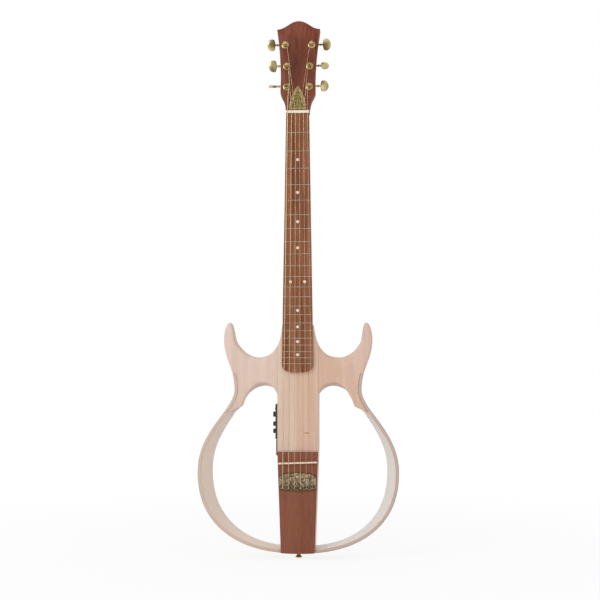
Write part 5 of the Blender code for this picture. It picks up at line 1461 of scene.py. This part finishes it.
def makeString(index):
    diameter = stringSet["diameters"][index] * mm
    radius, down = diameter / 2, stringSet["ballDown"]
    anchorY = bodySet["plateFace"] - gap - tailpieceSet["thickness"] - gap - radius
    anchorDown = down - stringSet["ballRadius"] * 0.5
    bridge = saddleDown(stringAcross(index, neckSet["scale"]))
    coil = [headMatrix @ p for p in windingPoints(index)]
    span = [
        Vector((stringAcross(index, anchorDown), anchorY, -anchorDown)),
        Vector((stringAcross(index, bridge), -stringSet["riseSaddle"] - gap - radius, -bridge)),
        nutPoint(index), coil[0],
    ]
    points = [Vector(p) for p in eased(span, 1.4 * mm, 4)] + coil[1:]
    finish = woundWire if index < 4 else plainWire
    wire = wireMesh(points, radius, finish, 12 if index < 3 else 10)
    across = stringAcross(index, down)
    half, ball = stringSet["ballLength"] / 2, stringSet["ballRadius"]
    barrel = [(0, half), (ball * 0.45, half), (ball, half - 0.35 * mm)]
    barrel += [(ball, 0.7 * mm), (ball * 0.78, 0.45 * mm)]
    barrel += [(reach, -height) for reach, height in reversed(barrel)]
    place = placed((across, anchorY + ball * 0.4, -down), math.pi / 2, "Y")
    end = painted(latheMesh(eased(barrel, 0.2 * mm, 3), 24, place), gold)
    addPiece("string_" + stringNames[index], joinedFinishes(wire, end), finish)


for index in range(6):
    makeString(index)


def makeNut():
    half, thick, stand = neckSet["nutWidth"] / 2, neckSet["nutThickness"], neckSet["nutStand"]
    foot = neckSet["boardThickness"] - gap
    section = [(foot, 0), (-stand, 0), (-stand, 1.2 * mm), (-stand * 0.86, 3.2 * mm),
               (-stand * 0.5, thick), (foot, thick)]
    nut = softened(ringsMesh([[(x, y, z) for y, z in section] for x in (-half, half)]), 0.35 * mm, 3, 25)
    slots = []
    for index, diameter in enumerate(stringSet["diameters"]):
        start, reach = nutPoint(index), diameter * mm / 2 + 0.12 * mm
        heading = headMatrix @ windingPoints(index)[0] - start
        turn = heading.to_track_quat("Z", "Y").to_matrix().to_4x4()
        slot = wideBox(reach, -6 * mm, reach, -4 * mm, 14 * mm)
        slots.append(moved(slot, Matrix.Translation(start) @ turn))
    addPiece("nut", without(nut, *slots), bone)


def makeSaddle():
    bar = alongSaddle(-stringSet["riseSaddle"], bodySet["saddleFoot"], 0)
    addPiece("saddle", softened(bar, 0.95 * mm, 5), bone)


makeNut()
makeSaddle()
print("strings, nut and saddle made")


# tailpiece and truss rod cover: cast plates with a leaf-and-scroll relief

reliefSet = {
    **inMm(
        face=-1.0, wire=0.42,
    ),
    "sides": 8,
}


def scrollPath(centre, radius, turns, start, sense, tail):  # a spiral, with a stem into its mouth
    points = []
    for i in range(int(turns * 26) + 1):
        share = i / (turns * 26)
        reach = radius * (1 - share) ** 0.8 + 0.25 * mm
        angle = start + sense * 2 * math.pi * turns * share
        points.append((centre[0] + reach * math.cos(angle), centre[1] + reach * math.sin(angle)))
    mouth = Vector(points[0])
    handle = mouth - (Vector(points[1]) - mouth).normalized() * 2 * mm
    stem = geometry.interpolate_bezier(Vector(tail[0]), Vector(tail[1]), handle, mouth, 10)
    return [(p.x, p.y) for p in stem[:-1]] + points


def leafTemplate():  # a unit leaf lying in XY with its rib raised along X
    side = ((1, -0.1), (0.9, 0.04), (0.35, 0.12))
    section = [(-out, height) for out, height in side] + [(0, 0.19)] + list(side[::-1])
    rings = []
    for share in (0.0, 0.1, 0.28, 0.5, 0.72, 0.9, 1.0):
        half = 0.30 * math.sin(math.pi * share**0.8) + 0.012
        rings.append([(share - 0.5, half * out, height) for out, height in section])
    return ringsMesh(rings)


def beadTemplate():
    return latheMesh([(0, 0.8), (0.55, 0.62), (0.95, 0), (0.95, -0.4), (0, -0.4)], 8)


def reliefWire(path, depth, wire, finish):
    return wireMesh([(x, depth, z) for x, z in path], wire, finish, reliefSet["sides"])


def towardFront(angle, side=1):  # template X along an angle on the plate, its Z to the front
    angle = angle if side > 0 else math.pi - angle
    turn = Matrix(((math.cos(angle), math.sin(angle), 0), (0, 0, -1), (math.sin(angle), -math.cos(angle), 0)))
    return tuple(turn.to_euler())


def tailpieceOutline(grow=0.0):
    given = tailpieceSet
    half, top, arch, sag = given["half"] - grow, given["top"] + grow, given["arch"], given["sag"]
    foot = -given["top"] - given["height"] + grow
    right = [(half * i / 8, foot + sag * (i / 8) ** 2) for i in range(9)]
    turns = [math.pi / 2 * i / 22 for i in range(22)]
    right += [(half * math.cos(t) ** 0.8, -top - arch + arch * math.sin(t)) for t in turns]
    right.append((0, -top))
    return right + [(-x, z) for x, z in reversed(right[1:-1])]


def makeTailpiece():
    back, face = bodySet["plateFace"] - gap, reliefSet["face"]
    base = softened(plateMesh(tailpieceOutline(), face, back), 0.5 * mm, 3, 50)
    pockets = []
    for index in range(6):
        across, half = stringAcross(index, stringSet["ballDown"]), stringSet["ballLength"] / 2 + gap
        reach = stringSet["ballRadius"] + gap
        low = (across - half, face - 0.01, -stringSet["ballDown"] - reach)
        high = (across + half, back - 0.7 * mm, -stringSet["ballDown"] + reach)
        pockets.append(softened(boxMesh(low, high), 0.8 * mm, 3))
    base = without(base, *pockets)
    down = -tailpieceSet["top"]
    paths = []
    for side in (-1, 1):
        def at(x, z):
            return (side * x * mm, down - z * mm)
        for x, z, radius, turns, start, sense, tail in (
            (9.5, 12.5, 5.0, 1.35, 3.6, -1, (at(1.2, 21.5), at(2.0, 13.0))),
            (21.0, 15.5, 4.6, 1.35, 1.9, 1, (at(11.0, 21.8), at(17.5, 24.5))),
            (17.6, 7.0, 2.6, 1.2, 3.4, -1, (at(14.2, 13.5), at(13.6, 9.0))),
            (29.6, 17.4, 2.9, 1.25, 2.4, -1, (at(24.5, 21.6), at(27.5, 24.0))),
            (27.2, 10.4, 2.3, 1.2, 4.2, 1, (at(24.4, 11.0), at(24.0, 7.0))),
            (4.4, 5.6, 2.1, 1.15, 5.2, 1, (at(8.4, 7.6), at(7.6, 4.0))),
        ):
            first = start if side > 0 else math.pi - start
            paths.append(scrollPath(at(x, z), radius * mm, turns, first, sense * side, tail))
    wires = [reliefWire(path, face - 0.02 * mm, reliefSet["wire"], relief) for path in paths]
    for grow, wire in ((1.3, 0.46), (2.5, 0.24)):
        ring = tailpieceOutline(grow * mm)
        wires.append(reliefWire(ring + ring[:1], face, wire * mm, relief))
    sill = [(x * mm, down - 23.6 * mm - 0.6 * mm * (1 - (x / 32) ** 2)) for x in range(-32, 33, 2)]
    wires.append(reliefWire(sill, face, 0.3 * mm, relief))
    leaves, beads = [], []
    for side in (-1, 1):
        for x, z, angle, size in (
            (14.9, 17.6, 60, 4.6), (5.6, 18.6, 140, 4.4), (14.4, 5.4, 150, 3.6), (22.6, 7.0, 100, 4.0),
            (26.0, 14.6, 75, 3.6), (32.0, 13.2, 110, 3.0), (31.4, 21.6, 20, 3.0), (9.4, 4.6, 35, 3.0),
            (17.4, 11.4, 200, 3.2), (2.6, 15.4, 95, 3.4), (8.6, 21.6, 10, 3.2), (18.6, 22.0, 170, 3.4),
            (21.4, 3.6, 165, 2.6), (12.6, 9.0, 60, 2.8),
        ):
            turn = towardFront(math.radians(angle), side)
            leaves.append(((side * x * mm, face, down - z * mm), turn, (size, size * 0.9, 1.9)))
    for angle, size in ((90, 5.2), (58, 4.4), (122, 4.4), (28, 3.4), (152, 3.4)):
        turn = math.radians(angle)
        spot = (math.cos(turn) * size * 0.55 * mm, face, down - 9.5 * mm + math.sin(turn) * size * 0.55 * mm)
        leaves.append((spot, towardFront(turn), (size, size, 2.0)))
    ahead = towardFront(0)
    for i in range(27):
        x = (i - 13) * 2.45
        beads.append(((x * mm, face, down - 32.2 * mm + 3 * mm * (x / 35.3) ** 2), ahead, (0.55, 0.55, 0.55)))
    studs = [(0, 11.5), (0, 20.6)]
    studs += [(side * x, z) for x, z in ((13.4, 13.8), (24.6, 17.8), (5.2, 9.4)) for side in (-1, 1)]
    beads += [((x * mm, face, down - z * mm), ahead, (0.62, 0.62, 0.6)) for x, z in studs]
    for row, z in enumerate(np.arange(3.4, 31.0, 1.45)):  # stippled ground
        for x in np.arange(-33 + 0.8 * (row % 2), 33, 1.6):
            share = abs(x) / 34.9
            if 12.6 - 10 * math.sqrt(1 - share**2.5) < z < 30.6 - 3 * share**2:
                beads.append(((x * mm, face + 0.1 * mm, down - z * mm), ahead, (0.42, 0.42, 0.5)))
    leafMesh = repeated(leafTemplate(), leaves, relief, mm)
    beadMesh = repeated(beadTemplate(), beads, relief, mm)
    made = joinedFinishes(painted(base, patina), *wires, leafMesh, beadMesh)
    addPiece("tailpiece", made, relief)


def coverOutline(grow=0.0):
    half, tall, foot = 16.25 * mm - grow, 46.5 * mm - 1.6 * grow, 0.5 * mm + grow
    right = [(half, foot)]
    for share in [i / 18 for i in range(1, 18)]:
        right.append((half * math.cos(share * math.pi / 2) ** 0.75, foot + tall * share))
    return right + [(0, foot + tall)] + [(-x, z) for x, z in reversed(right)]


def makeRodCover():
    back, face = -gap, -gap - 0.95 * mm
    base = softened(plateMesh(coverOutline(), face, back), 0.3 * mm, 3, 50)
    wires = []
    arches = ((1.1, 0.40), (2.6, 0.24), (4.0, 0.34), (5.4, 0.24), (6.8, 0.30), (8.2, 0.22))
    for grow, wire in arches:  # one inside the other
        ring = coverOutline(grow * mm)
        ring = ring + ring[:1] if grow < 2 else [(x, z) for x, z in ring if z > 5.2 * mm]
        wires.append(reliefWire(ring, face, wire * mm, coverRelief))
    lines = [([(x * mm, 4.4 * mm) for x in range(-14, 15, 2)], 0.3)]  # sill, upright ribs at the foot, oval
    for x, top in ((-6, 16), (-3, 20), (0, 23), (3, 20), (6, 16)):
        lines.append(([(x * mm, z * mm) for z in range(7, top)], 0.28))
    oval = [(3.4 * mm * math.cos(t / 5), 27 * mm + 5 * mm * math.sin(t / 5)) for t in range(33)]
    wires += [reliefWire(line, face, wire * mm, coverRelief) for line, wire in lines + [(oval, 0.3)]]
    leaves = []
    for side in (-1, 1):
        for x in (12.6, 9.2, 5.8, 2.4):
            turn = towardFront(math.radians(165), side)
            leaves.append(((side * x * mm, face, 2.9 * mm), turn, (3.0, 3.0 * 0.8, 1.4)))
    made = joinedFinishes(painted(base, coverBase), *wires, repeated(leafTemplate(), leaves, coverRelief, mm))
    addPiece("truss_rod_cover", moved(made, headMatrix), coverRelief)


makeTailpiece()
makeRodCover()
print("tailpiece and rod cover made")


# preamp, battery drawer, jack, strap buttons and rear cover

strapSet = inMm(flange=6.2, stem=3.6, length=11.4, tailDepth=33, heelDown=475)


def ribbedKnob(radius, height, shaft, place):
    rings = []
    for share, z in ((0.80, height), (0.90, height - 0.12 * mm), (0.97, height - 0.5 * mm),
                     (1.0, height - 1.2 * mm), (1.0, 0.25 * mm), (0.96, 0)):
        ring = []
        for i in range(96):
            reach = radius * share - (0.0 if share < 0.9 or i % 4 < 2 else 0.28 * mm)
            angle = 2 * math.pi * i / 96
            ring.append((reach * math.cos(angle), reach * math.sin(angle), z))
        rings.append(ring)
    axle = preampSet["shaft"]
    rod = latheMesh([(0, 0.2 * mm), (axle, 0.2 * mm), (axle, -shaft), (0, -shaft)], 20)
    mark = boxMesh((radius * 0.25, -0.3 * mm, height - 0.2 * mm), (radius * 0.74, 0.3 * mm, height + 0.08 * mm))
    mark = painted(softened(mark, 0.05 * mm, 2), markPaint)
    return moved(joinedFinishes(painted(ringsMesh(rings), blackPlastic), painted(rod, steel), mark), place)


def onPanel(down, depth=0.0, proud=0.0):  # a lathe's Z comes out of the preamp's panel
    return placed((panelOutside - proud, preampSet["depthMiddle"] + depth, -down), -math.pi / 2, "Y")


def makePreamp():
    given, start = preampSet, -bodySet["blockHalf"]
    depth, tall = given["panelDepth"] / 2, given["length"] / 2
    middle = Vector((0, given["depthMiddle"], preampMiddle))
    panel = softened(boxNear(middle, (panelOutside, -depth, -tall), (start - gap, depth, tall)), 1.4 * mm, 4)
    inner, first, wall = start + given["boxReach"], panelOutside + given["panelWall"], given["wall"]
    depth, tall = given["boxDepth"] / 2, given["boxLength"] / 2
    box = boxNear(middle, (panelOutside + 2 * mm, -depth, -tall), (inner, depth, tall))
    room = boxNear(middle, (first, wall - depth, wall - tall), (inner + over, depth - wall, tall - wall))
    drills = []
    bores = [(down * mm, given["shaft"]) for _, _, down, _ in given["knobs"]]
    for down, radius in bores + [(given["buttonDown"], given["buttonRadius"])]:
        ends = [(x, given["depthMiddle"], -down) for x in (panelOutside - over, first + 2 * mm)]
        drills.append(rodMesh(*ends, radius + gap, 24))
    body = without(united(panel, softened(box, 0.8 * mm, 2)), room, *drills)
    ticks = []
    tick = softened(boxMesh((-0.5, -0.14, -0.1), (0.5, 0.14, 0.06)), 0.03, 1)
    for _, _, down, radius in given["knobs"]:
        for k in range(11):
            angle, reach = math.radians(-135 + 27 * k), (radius + 1.5) * mm
            out, up = math.sin(angle), math.cos(angle)
            spot = (panelOutside, given["depthMiddle"] + reach * out, -down * mm + reach * up)
            turn = Matrix(((0, 0, -1), (out, up, 0), (up, -out, 0)))
            ticks.append((spot, tuple(turn.to_euler()), (1.1, 1, 1)))
    marks = repeated(tick, ticks, markPaint, mm)
    lens = latheMesh([(0, 0.9), (0.6, 0.75), (1.0, 0.3), (1.1, -0.4), (0, -0.4)], 20)
    lens = moved(lens, onPanel(given["buttonDown"], 8 * mm) @ Matrix.Scale(mm, 4))
    made = joinedFinishes(painted(body, blackPlastic), marks, painted(lens, lampLens))
    addPiece("preamp_housing", made, blackPlastic)
    for name, body, down, radius in given["knobs"]:
        shaft = given["panelWall"] + given["potSetback"]
        knob = ribbedKnob(radius * mm, given["knobHeight"], shaft, onPanel(down * mm, proud=gap))
        addPiece(name, knob, blackPlastic, body)
    radius, stay, top = given["buttonRadius"], -given["panelWall"] - gap, given["buttonProud"]
    profile = [
        (0, top - 0.3 * mm), (radius * 0.6, top - 0.2 * mm), (radius - 0.3 * mm, top), (radius, top - 0.4 * mm),
        (radius, stay), (radius + 0.8 * mm, stay), (radius + 0.8 * mm, stay - 1.2 * mm), (0, stay - 1.2 * mm),
    ]
    button = latheMesh(eased(profile, 0.2 * mm, 3), 32, onPanel(given["buttonDown"]))
    addPiece("check_button", button, greyPlastic, "button")
    spots = [(panelOutside, middle.y + y * mm, preampMiddle + z * mm) for y in (-16, 16) for z in (-30, 30)]
    setScrews("panel_screws", [(spot, (-1, 0, 0)) for spot in spots], 1.5 * mm, steel)


def makeDrawer():
    wall, (long, deep, high) = drawerSet["wall"], drawerSet["battery"]
    depth, tall = deep / 2 + gap + wall, high / 2 + gap + wall
    start, middle = -bodySet["blockHalf"], Vector((0, preampSet["depthMiddle"], drawerMiddle))
    front, proud = start - gap, drawerSet["proud"]
    tray = boxNear(middle, (front - proud / 2, -depth, -tall), (start + long + 2 * wall + 2 * gap, depth, tall))
    half = Vector((0, preampSet["panelDepth"] / 2, drawerSet["faceHeight"] / 2))
    face = boxMesh(middle + Vector((front - proud, 0, 0)) - half, middle + Vector((front, 0, 0)) + half)
    grip = [middle + Vector((front - proud - 3.2 * mm, y * mm, -6 * mm)) for y in (-8, 8)]
    face = without(softened(face, 1.2 * mm, 4), rodMesh(*grip, 5 * mm, 40))
    inner = start + wall
    room = boxNear(middle, (inner, -deep / 2 - gap, -high / 2 - gap),
                   (inner + long + 2 * gap, depth + over, high / 2 + gap))
    addPiece("battery_drawer", without(united(tray, face), room), blackPlastic, "drawer")
    end = inner + gap + long - 1.6 * mm
    case = boxNear(middle, (inner + gap, -deep / 2, -high / 2), (end, deep / 2, high / 2))
    case, studs = painted(softened(case, 1.2 * mm, 4), batteryCase), []
    for z, radius in ((-6.3 * mm, 2.6 * mm), (6.3 * mm, 3.2 * mm)):
        profile = [(0, 0.9 * mm), (radius * 0.5, 0.9 * mm), (radius * 0.55, 1.5 * mm),
                   (radius, 1.5 * mm), (radius, -0.3 * mm), (0, -0.3 * mm)]
        place = placed(middle + Vector((end, 0, z)), math.pi / 2, "Y")
        studs.append(painted(latheMesh(eased(profile, 0.15 * mm, 2), 24, place), nickel))
    addPiece("battery", joinedFinishes(case, *studs), batteryCase, "drawer")


def makeJack():
    width, height, thick = jackSet["plate"]
    place, rim, bore = jackMatrix(), jackSet["radius"], jackSet["bore"]
    nose, front, end = rim - 1.2 * mm, gap + thick + 1.0 * mm, -jackSet["length"]
    plate = softened(boxMesh((gap, -width / 2, -height / 2), (gap + thick, width / 2, height / 2)), 0.5 * mm, 3)
    plate = without(plate, rodMesh((-over, 0, 0), (over, 0, 0), nose + gap, 32))
    addPiece("jack_plate", moved(plate, place), nickel)
    profile = [
        (0, 2 * mm + end), (bore, 2 * mm + end), (bore, front - 0.3 * mm), (bore + 0.3 * mm, front),
        (nose - 0.2 * mm, front), (nose, front - 0.2 * mm), (nose, 0), (rim, 0), (rim, end), (0, end),
    ]
    barrel = latheMesh(profile, 40, placed((0, 0, 0), math.pi / 2, "Y"))
    profile = [(nose, 0.8 * mm), (nose + 2 * mm, 0.8 * mm), (nose + 2.6 * mm, 0), (nose, 0)]
    ring = latheMesh(eased(profile, 0.2 * mm, 3, True), 40, placed((gap + thick, 0, 0), math.pi / 2, "Y"), True)
    addPiece("output_jack", moved(joined(barrel, ring), place), nickel)
    out = place.to_3x3() @ Vector((1, 0, 0))
    spots = [(place @ Vector((gap + thick, 0, z * mm)), out) for z in (-15, 15)]
    setScrews("jack_screws", spots, 2.2 * mm, nickel)


def makeStrapButtons():
    flange, stem, end = strapSet["flange"], strapSet["stem"], -strapSet["length"]
    profile = [
        (0, -gap), (stem + 1.2 * mm, -gap), (stem, -1.6 * mm), (stem, end * 0.5), (stem + 0.6 * mm, end * 0.66),
        (flange, end * 0.82), (flange, end * 0.93), (stem + 0.8 * mm, end), (1.8 * mm, end),
        (1.6 * mm, end + 0.9 * mm), (0, end + 0.9 * mm),
    ]
    tail = placed((0, strapSet["tailDepth"], -bodySet["tail"]))
    heel = placed((0, bodySet["back"], -strapSet["heelDown"]), math.pi / 2, "X")
    for name, place in (("strap_button_tail", tail), ("strap_button_heel", heel)):
        addPiece(name, latheMesh(eased(profile, 0.5 * mm, 4), 48, place), gold)
    ends = [(place @ Vector((0, 0, end + 0.75 * mm)), place.to_3x3() @ Vector((0, 0, -1)))
            for place in (tail, heel)]
    setScrews("strap_screws", ends, 1.5 * mm, steel)


def makeRearCover():
    wide, high, thick = coverSet["size"]
    back, middle = bodySet["back"], coverSet["middle"]
    cover = softened(wideBox(wide / 2, back - thick, back, -middle - high / 2, -middle + high / 2), 0.4 * mm, 3)
    addPiece("rear_cover", cover, blackPlastic)
    out, up = wide / 2 - 3 * mm, high / 2 - 3 * mm
    spots = [(x * out, back, z * up - middle) for x in (-1, 1) for z in (-1, 1)]
    setScrews("cover_screws", [(spot, (0, 1, 0)) for spot in spots], 1.6 * mm, steel)


makePreamp()
makeDrawer()
makeJack()
makeStrapButtons()
makeRearCover()
print("preamp, jack and small parts made")

for name, finish in (("truss_rod", steel), ("pickup_strip", steel), ("circuit_board", boardGreen)):
    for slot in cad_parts[name].material_slots:
        slot.material = finish
